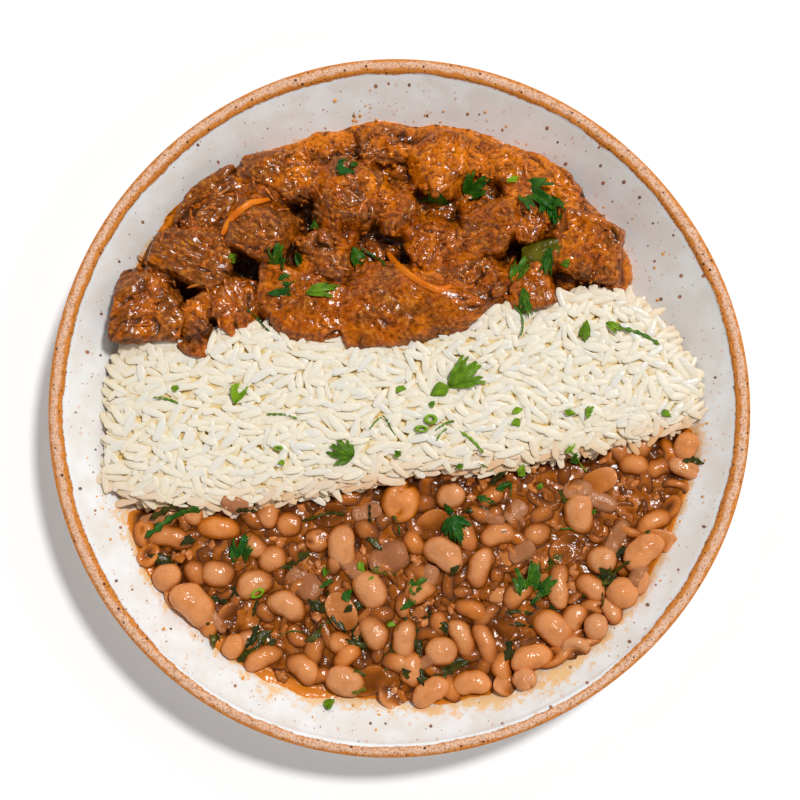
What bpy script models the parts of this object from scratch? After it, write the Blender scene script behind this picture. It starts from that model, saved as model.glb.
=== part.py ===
"""Rice and beans plate: a stoneware coupe plate served with beef stew, white rice and beans in sauce.

Metres, +Z up. The origin is the centre of the plate's foot, on the table. The stew lies towards +Y,
the rice across the middle and the beans towards -Y. Every piece of food is its own closed solid. Pieces
stand a hair apart, because a mesh that touches its neighbour would overlap it a little.
"""

import math
import random
from dataclasses import dataclass

import bmesh
import bpy
from mathutils import Matrix, Vector, noise

MM = 0.001

# The plate
PLATE_RADIUS = 112 * MM
PLATE_HEIGHT = 28 * MM
RIM_RADIUS = 2.3 * MM
WALL = 2 * RIM_RADIUS
BASE = 5.0 * MM
FOOT_HEIGHT = 2.5 * MM
FOOT_RADIUS = 66 * MM
FOOT_WIDTH = 6 * MM
FLOOR_RADIUS = 66 * MM
WALL_CURVE = 2.4
AROUND = 48
BRIM_RADIUS = PLATE_RADIUS - WALL
BRIM_HEIGHT = PLATE_HEIGHT - RIM_RADIUS
FLOOR = FOOT_HEIGHT + BASE

# The food
GAP = 0.35 * MM
SAUCE_LEVEL = 15.5 * MM
GRAVY_LEVEL = 18.5 * MM
RICE_LEVEL = 24.5 * MM
BEAN = (7.2 * MM, 4.6 * MM)
BEAN_DOME = 3.6 * MM
BEAN_SPACING = 11.5 * MM
SEAM = 0.4 * MM
CHUNK_GAP = 1.1 * MM
POCKET_GAP = 0.45 * MM
CHUNK_LIFT = 2.0 * MM
STRIP_RADIUS = 0.8 * MM


def clear_scene():
    """Removes the startup scene's objects."""
    for old in list(bpy.data.objects):
        bpy.data.objects.remove(old, do_unlink=True)


def material(name, colour, roughness):
    """A plain finish for a sub-part."""
    made = bpy.data.materials.new(name)
    made.use_nodes = True
    shader = made.node_tree.nodes["Principled BSDF"]
    shader.inputs["Base Color"].default_value = (*colour, 1.0)
    shader.inputs["Roughness"].default_value = roughness
    shader.inputs["Metallic"].default_value = 0.0
    return made


def add_object(name, bm, finish):
    """Makes a named, smooth-shaded object of a bmesh."""
    bmesh.ops.recalc_face_normals(bm, faces=bm.faces)
    mesh = bpy.data.meshes.new(name)
    bm.to_mesh(mesh)
    bm.free()
    mesh.shade_smooth()
    mesh.set_sharp_from_angle(angle=math.radians(50))
    if finish:
        mesh.materials.append(finish)
    made = bpy.data.objects.new(name, mesh)
    bpy.context.scene.collection.objects.link(made)
    return made


def hide(helper):
    """Keeps a cutter out of the model."""
    helper.hide_render = True
    helper.display_type = "WIRE"
    return helper


def cut(target, cutter, operation):
    """Adds a Boolean of the cutter to the target."""
    modifier = target.modifiers.new(cutter.name, "BOOLEAN")
    modifier.operation = operation
    modifier.solver = "EXACT"
    modifier.object = cutter


# ---------------------------------------------------------------- the plate


def inner_height(radius):
    """Height of the plate's upper face: a flat floor that curves up to the brim."""
    share = max(0.0, (radius - FLOOR_RADIUS) / (BRIM_RADIUS - FLOOR_RADIUS))
    return FLOOR + (BRIM_HEIGHT - FLOOR) * share**WALL_CURVE


def turned(name, profile, finish=None):
    """Spins a profile of (radius, height) points round the Z axis into a closed solid."""
    bm = bmesh.new()
    points = [bm.verts.new((radius, 0, height)) for radius, height in profile]
    edges = [bm.edges.new(pair) for pair in zip(points, points[1:])]
    bmesh.ops.spin(
        bm,
        geom=points + edges,
        cent=(0, 0, 0),
        axis=(0, 0, 1),
        dvec=(0, 0, 0),
        angle=math.tau,
        steps=AROUND,
        use_merge=True,
    )
    bmesh.ops.remove_doubles(bm, verts=bm.verts, dist=0.01 * MM)
    return add_object(name, bm, finish)


def inner_profile(offset, steps=7):
    """Points along the plate's upper face from its middle to the brim, raised by an offset."""
    rising = [FLOOR_RADIUS + (BRIM_RADIUS - FLOOR_RADIUS) * (i / steps) ** 0.8 for i in range(steps + 1)]
    return [(0, FLOOR + offset)] + [(radius, inner_height(radius) + offset) for radius in rising]


def outer_profile(steps=5):
    """Points down the outside: round rim, curved wall and foot ring, ending on the axis."""
    centre = PLATE_RADIUS - RIM_RADIUS
    rim = [
        (centre - RIM_RADIUS * math.cos(a), BRIM_HEIGHT + RIM_RADIUS * math.sin(a))
        for a in (math.pi * i / 5 for i in range(1, 6))
    ]
    foot_top = FOOT_RADIUS + 2 * MM
    wall = []
    for i in range(1, steps + 1):
        share = 1 - i / steps
        radius = foot_top + (PLATE_RADIUS - foot_top) * share
        wall.append((radius, FOOT_HEIGHT + (BRIM_HEIGHT - FOOT_HEIGHT) * share**2.1))
    foot_inner = FOOT_RADIUS - FOOT_WIDTH
    foot = [
        (FOOT_RADIUS, 0.6 * MM),
        (FOOT_RADIUS - 0.8 * MM, 0),
        (foot_inner + 0.8 * MM, 0),
        (foot_inner, 0.6 * MM),
        (foot_inner - 1 * MM, FOOT_HEIGHT),
        (0, FOOT_HEIGHT),
    ]
    return rim + wall + foot


def make_plate(finish):
    """The coupe plate, one turned piece of stoneware."""
    return turned("plate", inner_profile(0) + outer_profile(), finish)


def make_room():
    """A cutter that fills the plate's hollow, a hair inside its upper face."""
    inside = [(radius - GAP * (radius > FLOOR_RADIUS), height) for radius, height in inner_profile(GAP)]
    lid = PLATE_HEIGHT * 2
    return hide(turned("room", inside + [(BRIM_RADIUS - GAP, lid), (0, lid)]))


# ---------------------------------------------------------------- the edges between the foods


@dataclass(frozen=True)
class Edge:
    """A smooth line y(x) through a few points, in millimetres."""

    points: tuple

    def at(self, x):
        """Height of the line at x in metres, by cubic Hermite pieces."""
        along = [p[0] * MM for p in self.points]
        across = [p[1] * MM for p in self.points]
        last = len(along) - 1
        x = min(max(x, along[0]), along[last])
        i = max(k for k in range(last) if along[k] <= x)

        def slope(k):
            low, high = max(k - 1, 0), min(k + 1, last)
            return (across[high] - across[low]) / (along[high] - along[low])

        width = along[i + 1] - along[i]
        t = (x - along[i]) / width
        start = (1 + 2 * t) * (1 - t) ** 2 * across[i] + t * (1 - t) ** 2 * width * slope(i)
        return start + t * t * (3 - 2 * t) * across[i + 1] + t * t * (t - 1) * width * slope(i + 1)


RICE_SPAN = (-95 * MM, 96 * MM)
BEANS_SPAN = (-86 * MM, 95 * MM)
STEW_SPAN = (-87 * MM, 72 * MM)
STEW_FAR = Edge(((-87, 45), (-78, 56), (-70, 66), (-56, 75), (-41, 83), (-22, 88), (-6, 91), (18, 89),
                 (38, 83), (52, 75), (63, 63), (72, 53)))
RICE_STEW = Edge(((-95, 10), (-88, 20), (-70, 24), (-48, 29), (-30, 24), (-12, 27), (10, 30), (35, 37),
                  (72, 38), (86, 27), (96, 12)))
RICE_BEANS = Edge(((-95, -26), (-84, -31), (-60, -33), (-40, -31), (-18, -27), (8, -22), (30, -20),
                   (50, -17), (72, -13), (86, -9), (96, -5)))
BEANS_NEAR = Edge(((-86, -41), (-80, -56), (-68, -68), (-56, -79), (-44, -87), (-28, -94), (-8, -95),
                   (14, -97), (34, -94), (54, -86), (70, -71), (82, -55), (90, -38), (95, -22)))


# ---------------------------------------------------------------- heaps


def heap(name, span, near, far, top, columns, rows, finish):
    """A heap between two edges with an uneven top, filled down to the plate."""
    left, right = span
    bm = bmesh.new()
    grid = []
    for i in range(columns + 1):
        x = left + (right - left) * i / columns
        low, high = near.at(x) + SEAM / 2, far.at(x) - SEAM / 2
        column = [low + (high - low) * j / rows for j in range(rows + 1)]
        grid.append([bm.verts.new((x, y, top(x, y))) for y in column])
    for i in range(columns):
        for j in range(rows):
            bm.faces.new((grid[i][j], grid[i + 1][j], grid[i + 1][j + 1], grid[i][j + 1]))
    rim = [edge for edge in bm.edges if edge.is_boundary]
    sides = bmesh.ops.extrude_edge_only(bm, edges=rim)["geom"]
    foot = [part for part in sides if isinstance(part, bmesh.types.BMVert)]
    for vert in foot:
        vert.co.z = FOOT_HEIGHT
    bottom = [part for part in sides if isinstance(part, bmesh.types.BMEdge) and part.is_boundary]
    bmesh.ops.contextual_create(bm, geom=bottom)
    return add_object(name, bm, finish)


def ripple(x, y, size, seed):
    """Smooth noise from -1 to 1 whose bumps are about size across."""
    return noise.noise(Vector((x / size, y / size, seed)))


def rounded(inset, width):
    """Rises from 0 at an edge to 1 at width inside it, round like a heap's shoulder."""
    share = min(max(inset / width, 0.0), 1.0)
    return math.sqrt(1 - (1 - share) ** 2)


def over_plate(x, y, level, inset, width, lip):
    """Height of food that thins towards its edge, where only a lip of it lies on the plate."""
    floor = inner_height(math.hypot(x, y)) + GAP + lip
    return floor + max(level - floor, 0.0) * rounded(inset, width)


def rice_top(x, y):
    """The rice: a broad bank that falls away at both ends and a little towards the beans."""
    crest = RICE_LEVEL + 1.1 * MM * ripple(x, y, 13 * MM, 3.1) + 0.6 * MM * ripple(x, y, 5 * MM, 8.4)
    towards_beans = y - RICE_BEANS.at(x)
    towards_stew = RICE_STEW.at(x) - y
    crest -= 5.5 * MM * (1 - rounded(towards_beans, 16 * MM)) + 3.5 * MM * (1 - rounded(towards_stew, 18 * MM))
    inset = min(x - RICE_SPAN[0], RICE_SPAN[1] - x)
    return over_plate(x, y, crest, inset, 22 * MM, 2.4 * MM)


def gravy_top(x, y):
    """The stew's gravy: a lumpy layer that thins to a film at its outer edge."""
    level = GRAVY_LEVEL + 1.0 * MM * ripple(x, y, 9 * MM, 5.7)
    inset = min(STEW_FAR.at(x) - y, x - STEW_SPAN[0], STEW_SPAN[1] - x)
    return over_plate(x, y, level, inset, 9 * MM, 1.0 * MM)


def bean_places():
    """Seeded places for the beans of the heap's uneven top: (x, y, turn)."""
    draw = random.Random(17)
    places = []
    for _ in range(2600):
        x, y = draw.uniform(*BEANS_SPAN), draw.uniform(-95, -12) * MM
        turn = draw.uniform(0, math.pi)
        inside = BEANS_NEAR.at(x) + 3.5 * MM < y < RICE_BEANS.at(x) - 2 * MM
        if inside and all(math.hypot(x - a, y - b) > BEAN_SPACING for a, b, _ in places):
            places.append((x, y, turn))
    return places


BEAN_PLACES = bean_places()


def bean_dome(x, y):
    """How far the nearest bean stands out of the sauce at a point."""
    best = 0.0
    for bean_x, bean_y, turn in BEAN_PLACES:
        dx, dy = x - bean_x, y - bean_y
        if abs(dx) > BEAN[0] or abs(dy) > BEAN[0]:
            continue
        along = dx * math.cos(turn) + dy * math.sin(turn)
        across = dy * math.cos(turn) - dx * math.sin(turn)
        reach = (along / BEAN[0]) ** 2 + (across / BEAN[1]) ** 2
        best = max(best, BEAN_DOME * math.sqrt(max(0.0, 1 - reach)))
    return best


def beans_top(x, y):
    """The beans in sauce: a nearly level pool with beans standing out of it."""
    inset = min(y - BEANS_NEAR.at(x), x - BEANS_SPAN[0], BEANS_SPAN[1] - x)
    level = SAUCE_LEVEL + 0.5 * MM * ripple(x, y, 16 * MM, 1.9)
    return over_plate(x, y, level, inset, 4 * MM, 1.0 * MM) + bean_dome(x, y)


# ---------------------------------------------------------------- the pieces in the stew


@dataclass(frozen=True)
class Chunk:
    """A piece of the stew, in millimetres: its middle, its half sizes and its turn in degrees."""

    name: str
    middle: tuple
    half: tuple
    turn: float
    square: float = 2.8


CHUNKS = (
    Chunk("beef_01", (-80, 32.5, 20.0), (8.8, 12.8, 8.0), 12),
    Chunk("beef_02", (-66.5, 25.5, 19.0), (8.1, 11.2, 8.0), -14),
    Chunk("beef_03", (-53, 34, 18.5), (9.0, 9.4, 8.5), 20),
    Chunk("beef_04", (-66, 49, 19.5), (14.4, 9.6, 8.5), -8),
    Chunk("beef_05", (-60, 64.5, 19.0), (12.3, 9.4, 7.5), 28),
    Chunk("beef_06", (-38, 75, 19.5), (13.9, 9.6, 7.5), 14),
    Chunk("beef_07", (-42, 56.5, 20.0), (10.2, 10.2, 8.5), 35),
    Chunk("beef_08", (-29, 30.5, 19.5), (14.6, 12.4, 9.0), -6),
    Chunk("beef_09", (-24, 48, 20.0), (11.6, 7.9, 9.0), 10),
    Chunk("beef_10", (-16, 66, 21.0), (10.3, 13.7, 9.5), -10),
    Chunk("beef_11", (-1.5, 63.5, 19.5), (6.4, 9.6, 8.5), 14),
    Chunk("beef_12", (-5, 84.5, 18.5), (10.2, 5.4, 5.5), -5),
    Chunk("beef_13", (14, 79, 19.5), (12.3, 9.4, 7.5), -14),
    Chunk("beef_14", (-0.5, 33, 20.5), (16.9, 12.8, 9.5), 4),
    Chunk("beef_15", (28, 57, 20.0), (9.2, 10.7, 9.0), -16),
    Chunk("beef_16", (47, 71, 18.5), (13.9, 8.6, 6.0), -38),
    Chunk("beef_17", (61.5, 51, 19.5), (13.1, 10.2, 8.0), -10),
    Chunk("beef_18", (23.5, 38, 20.0), (10.7, 8.3, 8.0), 12),
    Chunk("beef_19", (39.5, 40, 19.0), (9.0, 6.6, 7.5), 18),
    Chunk("beef_20", (11, 51.5, 19.0), (10.3, 9.6, 8.0), 24),
    Chunk("beef_21", (32.5, 78, 17.5), (8.6, 6.2, 5.0), -20),
    Chunk("beef_22", (43, 60.5, 18.0), (8.0, 7.5, 7.0), 0),
    Chunk("green_pepper", (46.5, 49.5, 25.0), (7.6, 5.0, 2.6), 22, 2.2),
)


def blob_radius(chunk, direction):
    """Distance from a chunk's middle to its own skin along a unit vector."""
    local = Matrix.Rotation(-math.radians(chunk.turn), 3, "Z") @ direction
    total = sum(abs(local[k] / (chunk.half[k] * MM)) ** chunk.square for k in range(3))
    lumps = 1 + 0.07 * noise.noise(local * 1.9 + Vector(chunk.middle))
    return total ** (-1 / chunk.square) * lumps


def skin_point(chunk, direction):
    """A chunk's skin along a unit vector, pressed flat where a neighbour or the plate is in the way."""
    middle = Vector(chunk.middle) * MM
    radius = blob_radius(chunk, direction)
    for other in CHUNKS:
        if other is chunk:
            continue
        apart = Vector(other.middle) * MM - middle
        distance = apart.length
        towards = apart / distance
        own, theirs = blob_radius(chunk, towards), blob_radius(other, -towards)
        limit = distance * own / (own + theirs) - CHUNK_GAP / 2
        facing = direction.dot(towards)
        if facing > 0:
            radius = min(radius, limit / facing)
    point = middle + direction * radius
    point.z = max(point.z, inner_height(math.hypot(point.x, point.y)) + CHUNK_LIFT)
    return point


def chunk_skin(chunk, swell=0.0):
    """A chunk's closed skin as a bmesh, larger all round by swell."""
    bm = bmesh.new()
    bmesh.ops.create_cube(bm, size=2)
    bmesh.ops.subdivide_edges(bm, edges=bm.edges[:], cuts=2, use_grid_fill=True)
    middle = Vector(chunk.middle) * MM
    for vert in bm.verts:
        point = skin_point(chunk, vert.co.normalized())
        vert.co = point + (point - middle).normalized() * swell
    bmesh.ops.triangulate(bm, faces=bm.faces[:])
    bmesh.ops.recalc_face_normals(bm, faces=bm.faces)
    return bm


def make_pockets():
    """A cutter that clears the gravy and the rice from round every chunk."""
    joined = bmesh.new()
    for chunk in CHUNKS:
        single = chunk_skin(chunk, POCKET_GAP)
        mesh = bpy.data.meshes.new("pocket")
        single.to_mesh(mesh)
        single.free()
        joined.from_mesh(mesh)
        bpy.data.meshes.remove(mesh)
    return hide(add_object("pockets", joined, None))


# ---------------------------------------------------------------- vegetable strips over the stew

STRIPS = {
    "carrot_strip_1": ((-56.5, 54.0), (-53.0, 59.5), (-47.5, 64.0), (-41.0, 66.5)),
    "carrot_strip_2": ((-3.5, 50.5), (0.5, 43.5), (7.0, 38.5), (13.5, 35.5), (17.5, 38.0)),
}


def smooth_path(points, steps):
    """Points along a Catmull-Rom curve through the given ones."""
    padded = [points[0], *points, points[-1]]
    path = []
    for k in range(1, len(padded) - 2):
        a, b, c, d = (Vector(padded[k + i]) for i in (-1, 0, 1, 2))
        for i in range(steps):
            t = i / steps
            path.append(0.5 * (2 * b + (c - a) * t + (2 * a - 5 * b + 4 * c - d) * t**2
                               + (3 * b - 3 * c + d - a) * t**3))
    return path + [Vector(points[-1])]


def stew_height(x, y):
    """Height of the highest piece of stew at a point, found on the chunks' own skins."""
    top = gravy_top(x, y)
    for chunk in CHUNKS:
        made = bpy.data.objects[chunk.name]
        hit, place, _, _ = made.ray_cast(Vector((x, y, 2 * PLATE_HEIGHT)), Vector((0, 0, -1)))
        if hit:
            top = max(top, place.z)
    return top


def make_strip(name, finish):
    """A thin strip of carrot that lies over the chunks."""
    path = [point * MM for point in smooth_path(STRIPS[name], 4)]
    reach = STRIP_RADIUS
    heights = [
        max(stew_height(p.x + dx, p.y + dy) for dx in (-reach, 0, reach) for dy in (-reach, 0, reach))
        for p in path
    ]
    curve = bpy.data.curves.new(name, "CURVE")
    curve.dimensions = "3D"
    curve.bevel_depth = STRIP_RADIUS
    curve.bevel_resolution = 2
    curve.use_fill_caps = True
    spline = curve.splines.new("POLY")
    spline.points.add(len(path) - 1)
    for i, place in enumerate(path):
        highest = max(heights[max(i - 2, 0) : i + 3])
        spline.points[i].co = (place.x, place.y, highest + STRIP_RADIUS + GAP, 1)
    curve.materials.append(finish)
    made = bpy.data.objects.new(name, curve)
    bpy.context.scene.collection.objects.link(made)


# ---------------------------------------------------------------- the whole


def main():
    """Builds every piece of the plate."""
    clear_scene()
    make_plate(material("glazed_stoneware", (0.80, 0.78, 0.74), 0.3))
    room = make_room()
    white = material("rice", (0.83, 0.80, 0.72), 0.5)
    brown = material("beans", (0.48, 0.2, 0.08), 0.3)
    orange = material("gravy", (0.42, 0.12, 0.015), 0.25)
    rice = heap("rice", RICE_SPAN, RICE_BEANS, RICE_STEW, rice_top, 30, 9, white)
    beans = heap("beans", BEANS_SPAN, BEANS_NEAR, RICE_BEANS, beans_top, 38, 15, brown)
    gravy = heap("gravy", STEW_SPAN, RICE_STEW, STEW_FAR, gravy_top, 18, 7, orange)
    beef = material("beef", (0.22, 0.07, 0.02), 0.4)
    pepper = material("green_pepper", (0.16, 0.11, 0.01), 0.3)
    for chunk in CHUNKS:
        add_object(chunk.name, chunk_skin(chunk), pepper if chunk.name == "green_pepper" else beef)
    bpy.context.view_layer.update()
    carrot = material("carrot", (0.65, 0.17, 0.01), 0.3)
    for name in STRIPS:
        make_strip(name, carrot)
    pockets = make_pockets()
    for food in (rice, beans, gravy):
        cut(food, room, "INTERSECT")
    for food in (rice, gravy):
        cut(food, pockets, "DIFFERENCE")


main()
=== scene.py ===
"""Looks of a served plate: beef stew, white rice and beans in their sauce on a speckled stoneware plate.

Metres, +Z up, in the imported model's frame: the stew lies towards +Y, the rice across the middle and the
beans towards -Y. The solids are replaced by what they stand for: loose grains over a core, beans in a
pool of sauce, fibrous pieces of beef in gravy, and chopped parsley over all of it.
"""

import logging
import math
from dataclasses import dataclass, field
from enum import Enum

import bmesh
import bpy
import numpy as np
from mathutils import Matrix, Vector


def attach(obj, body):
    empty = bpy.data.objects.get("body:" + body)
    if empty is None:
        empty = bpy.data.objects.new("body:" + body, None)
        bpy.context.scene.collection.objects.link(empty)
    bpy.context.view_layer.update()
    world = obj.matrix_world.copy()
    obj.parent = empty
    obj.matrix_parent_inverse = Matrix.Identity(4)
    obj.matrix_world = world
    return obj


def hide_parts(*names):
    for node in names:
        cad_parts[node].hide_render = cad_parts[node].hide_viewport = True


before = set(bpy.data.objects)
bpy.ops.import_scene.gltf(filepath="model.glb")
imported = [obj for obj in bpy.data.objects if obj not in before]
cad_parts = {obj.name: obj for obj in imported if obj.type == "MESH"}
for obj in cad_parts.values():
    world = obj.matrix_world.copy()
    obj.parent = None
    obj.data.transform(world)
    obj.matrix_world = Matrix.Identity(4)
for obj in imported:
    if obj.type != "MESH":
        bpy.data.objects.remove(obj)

LOG = logging.getLogger("rice_and_beans_plate")
MM = 0.001
BODY = "root"
Colour = tuple[float, float, float]


# ---------------------------------------------------------------- shader maths


class Nodes:
    """A node tree, with one method that adds any node."""

    def __init__(self, tree: bpy.types.NodeTree) -> None:
        """Wraps a tree."""
        self.tree = tree

    def node(self, kind: str, settings: dict | None = None, inputs: dict | None = None) -> bpy.types.Node:
        """Adds a node, sets it up and feeds its sockets.

        Args:
            kind: The node's type.
            settings: The node's own settings.
            inputs: Values or links by socket name or number.

        Returns:
            The new node.
        """
        made = self.tree.nodes.new(kind)
        for key, value in (settings or {}).items():
            setattr(made, key, value)
        for key, value in (inputs or {}).items():
            self.feed(made.inputs[key], value)
        return made

    def feed(self, socket: bpy.types.NodeSocket, value: object) -> None:
        """Links or sets one socket.

        Args:
            socket: The socket to feed.
            value: A wire, another socket, a number or a tuple.
        """
        source = value.socket if isinstance(value, Wire) else value
        if isinstance(source, bpy.types.NodeSocket):
            self.tree.links.new(source, socket)
        elif socket.type == "RGBA" and len(source) == 3:
            socket.default_value = (*source, 1.0)
        else:
            socket.default_value = source


class Graph(Nodes):
    """A material's node tree round its main shader."""

    def __init__(self, name: str) -> None:
        """Starts a material that has only its main shader.

        Args:
            name: The material's name.
        """
        self.material = bpy.data.materials.new(name)
        self.material.use_nodes = True
        super().__init__(self.material.node_tree)
        self.surface = self.tree.nodes["Principled BSDF"]
        self.place = self.node("ShaderNodeTexCoord").outputs["Object"]

    def set(self, **values: object) -> None:
        """Feeds sockets of the main shader, named with _ for a space."""
        for key, value in values.items():
            self.feed(self.surface.inputs[key.replace("_", " ")], value)

    def value(self, name: str) -> "Wire":
        """A number that the mesh carries at its points."""
        return Wire(self, self.node("ShaderNodeAttribute", {"attribute_name": name}).outputs["Fac"])

    def noise(self, size: float, detail: float = 2.0, place: object = None, rough: float = 0.5) -> "Wire":
        """Cloudy noise from 0 to 1, with its largest blotches so many metres across."""
        inputs = {"Vector": place or self.place, "Scale": 1 / size, "Detail": detail, "Roughness": rough}
        return Wire(self, self.node("ShaderNodeTexNoise", None, inputs).outputs[0])

    def shifted(self, offset: tuple, stretch: tuple = (1.0, 1.0, 1.0)) -> bpy.types.NodeSocket:
        """The object's coordinates moved and stretched, for a pattern of their own."""
        inputs = {"Vector": self.place, "Location": offset, "Scale": stretch}
        return self.node("ShaderNodeMapping", None, inputs).outputs[0]

    def spots(self, size: float, share: float, reach: float, offset: tuple, flat: bool = False) -> "Wire":
        """Scattered round spots of uneven size.

        Args:
            size: Distance between the spots' places in metres.
            share: Share of the places that have a spot.
            reach: The largest spot's radius as a share of that distance.
            offset: Moves the pattern.
            flat: Whether the spots are drawn straight down instead of all through.

        Returns:
            1 inside a spot and 0 outside.
        """
        inputs = {"Vector": self.shifted(offset), "Scale": 1 / size}
        cells = self.node("ShaderNodeTexVoronoi", {"voronoi_dimensions": "2D" if flat else "3D"}, inputs)
        draw = self.node("ShaderNodeSeparateColor", None, {"Color": cells.outputs["Color"]})
        large = Wire(self, draw.outputs[0])
        chosen = Wire(self, draw.outputs[1]).step(1 - share, 1 - share + 0.01)
        edge = (large * 0.75 + 0.25) * reach
        distance = Wire(self, cells.outputs["Distance"])
        return (edge - distance).step(-0.02, 0.02) * chosen

    def blend(self, share: object, first: object, second: object) -> bpy.types.NodeSocket:
        """The first colour, with the second mixed in by a share from 0 to 1."""
        return self.node("ShaderNodeMix", {"data_type": "RGBA"}, {0: share, 6: first, 7: second}).outputs[2]

    def bump(self, height: "Wire", depth: float) -> bpy.types.NodeSocket:
        """A normal that follows a relief from 0 to 1, so many metres deep."""
        return self.node("ShaderNodeBump", None, {"Height": height, "Distance": depth}).outputs[0]


class Wire:
    """A number carried by a node's socket; arithmetic on it adds Math nodes."""

    def __init__(self, nodes: Nodes, socket: bpy.types.NodeSocket) -> None:
        """Wraps an output socket of a node tree."""
        self.nodes = nodes
        self.socket = socket

    def _math(self, operation: str, first: object, second: object = 0.0) -> "Wire":
        """Adds a Math node on two numbers."""
        made = self.nodes.node("ShaderNodeMath", {"operation": operation}, {0: first, 1: second})
        return Wire(self.nodes, made.outputs[0])

    def __add__(self, other: object) -> "Wire":
        """This number plus another."""
        return self._math("ADD", self, other)

    __radd__ = __add__

    def __sub__(self, other: object) -> "Wire":
        """This number less another."""
        return self._math("SUBTRACT", self, other)

    def __rsub__(self, other: object) -> "Wire":
        """Another number less this one."""
        return self._math("SUBTRACT", other, self)

    def __mul__(self, other: object) -> "Wire":
        """This number times another."""
        return self._math("MULTIPLY", self, other)

    __rmul__ = __mul__

    def __rtruediv__(self, other: object) -> "Wire":
        """Another number divided by this one."""
        return self._math("DIVIDE", other, self)

    def larger(self, other: object) -> "Wire":
        """The larger of this number and another."""
        return self._math("MAXIMUM", self, other)

    def step(self, low: float, high: float) -> "Wire":
        """A smooth rise.

        Args:
            low: Where it starts from 0.
            high: Where it reaches 1.

        Returns:
            The share from 0 to 1.
        """
        settings = {"interpolation_type": "SMOOTHSTEP"}
        made = self.nodes.node("ShaderNodeMapRange", settings, {0: self, 1: low, 2: high})
        return Wire(self.nodes, made.outputs[0])


# ---------------------------------------------------------------- finishes


@dataclass(frozen=True)
class Finish:
    """A surface that a piece is dressed in."""

    name: str

    def dress(self, graph: Graph) -> None:
        """Fills the material's node tree."""
        raise NotImplementedError

    def material(self) -> bpy.types.Material:
        """Makes the material.

        Returns:
            The material, dressed.
        """
        graph = Graph(self.name)
        self.dress(graph)
        return graph.material


@dataclass(frozen=True)
class SpeckledGlaze(Finish):
    """Off-white glaze with rust specks, and bare speckled clay beyond the dipped edge."""

    name: str = "speckled_glaze"
    glaze: Colour = (0.855, 0.855, 0.85)
    glaze_thin: Colour = (0.73, 0.655, 0.575)
    glaze_pool: Colour = (0.84, 0.87, 0.90)
    rust: Colour = (0.38, 0.11, 0.015)
    dark: Colour = (0.075, 0.022, 0.008)
    clay: Colour = (0.70, 0.235, 0.028)
    # Paler clay along the rim's crest, partly its own colour and partly painted highlight
    clay_pale_and_highlight: Colour = (0.85, 0.57, 0.41)
    oil: Colour = (0.88, 0.47, 0.10)
    dip_radius: float = 107.1 * MM
    dip_near: float = 1.4 * MM
    foot: float = 1.0 * MM

    def dress(self, graph: Graph) -> None:
        """Fills the material's node tree.

        Args:
            graph: The tree.
        """
        axes = graph.node("ShaderNodeSeparateXYZ", None, {0: graph.place})
        along, height = (Wire(graph, axes.outputs[i]) for i in (1, 2))
        wobble = (graph.noise(14 * MM, 2) - 0.5) * (1.8 * MM)
        wobble = wobble + (graph.noise(1.6 * MM, 3) - 0.5) * (0.9 * MM)
        near_side = (0.0 - along).step(0.05, 0.105) * self.dip_near
        beyond = graph.value("reach") + wobble - near_side
        bare = beyond.step(self.dip_radius - 0.15 * MM, self.dip_radius + 0.15 * MM)
        bare = bare.larger(1 - height.step(self.foot, self.foot + 0.3 * MM))
        pooled = beyond.step(self.dip_radius - 1.6 * MM, self.dip_radius - 0.2 * MM)

        thin = beyond.step(self.dip_radius - 22 * MM, self.dip_radius - 3 * MM)
        thin = thin * graph.noise(9 * MM, 5).step(0.3, 0.62)
        drawn_out = graph.shifted((0.1, 0.2, 0.0), (0.35, 1.0, 1.0))
        streaks = graph.noise(1.2 * MM, 4, drawn_out, 0.7).step(0.45, 0.8)
        glaze = graph.blend(thin * 0.55 + streaks * 0.1, self.glaze, self.glaze_thin)
        glaze = graph.blend(pooled * 0.55, glaze, self.glaze_pool)
        fine = graph.spots(2.9 * MM, 0.34, 0.085, (0.31, 0.12, 0.07), flat=True)
        large = graph.spots(6.2 * MM, 0.5, 0.1, (0.72, 0.05, 0.41), flat=True)
        pale = graph.spots(4.4 * MM, 0.4, 0.14, (0.15, 0.77, 0.23), flat=True)
        glaze = graph.blend(pale * 0.3, glaze, self.clay)
        glaze = graph.blend(fine * 0.8, glaze, self.rust)
        burnt = graph.blend(graph.noise(2 * MM).step(0.4, 0.6), self.rust, self.dark)
        glaze = graph.blend(large * 0.92, glaze, burnt)

        smear = graph.noise(3.2 * MM, 5, rough=0.65) + graph.value("stain") * 0.42
        smear = smear.step(0.72, 0.94) * graph.value("stain").step(0.02, 0.2)
        glaze = graph.blend(smear * 0.75, glaze, self.oil)

        # A paler granular band along the rim's crest: partly the clay's own colour, partly painted highlight
        ragged = beyond + near_side * 0.9 + (graph.noise(3 * MM, 3) - 0.5) * (2.0 * MM)
        pale_and_highlight_band = ragged.step(self.dip_radius + 1.0 * MM, self.dip_radius + 2.0 * MM)
        pale_and_highlight_band = pale_and_highlight_band * (1 - ragged.step(self.dip_radius + 3.2 * MM, self.dip_radius + 4.2 * MM))
        grain = graph.noise(0.5 * MM, 4, rough=0.75)
        clay = graph.blend(pale_and_highlight_band * grain.step(0.34, 0.54), self.clay, self.clay_pale_and_highlight)
        clay = graph.blend(graph.noise(0.8 * MM, 4, rough=0.8).step(0.48, 0.64) * 0.7, clay, self.rust)
        pits = graph.spots(0.85 * MM, 0.85, 0.4, (0.4, 0.2, 0.9)) * (1 - pale_and_highlight_band * 0.5)
        clay = graph.blend(pits * 0.7, clay, self.dark)
        blots = graph.spots(2.3 * MM, 0.6, 0.22, (0.9, 0.6, 0.1))
        clay = graph.blend(blots * 0.95, clay, self.dark)

        graph.set(
            Base_Color=graph.blend(bare, glaze, clay),
            Roughness=0.27 + bare * 0.5 + graph.noise(5 * MM, 3) * 0.12,
            Specular_IOR_Level=0.4,
            Normal=graph.bump(grain * bare + graph.noise(2.5 * MM, 3) * 0.25, 0.25 * MM),
        )


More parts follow.
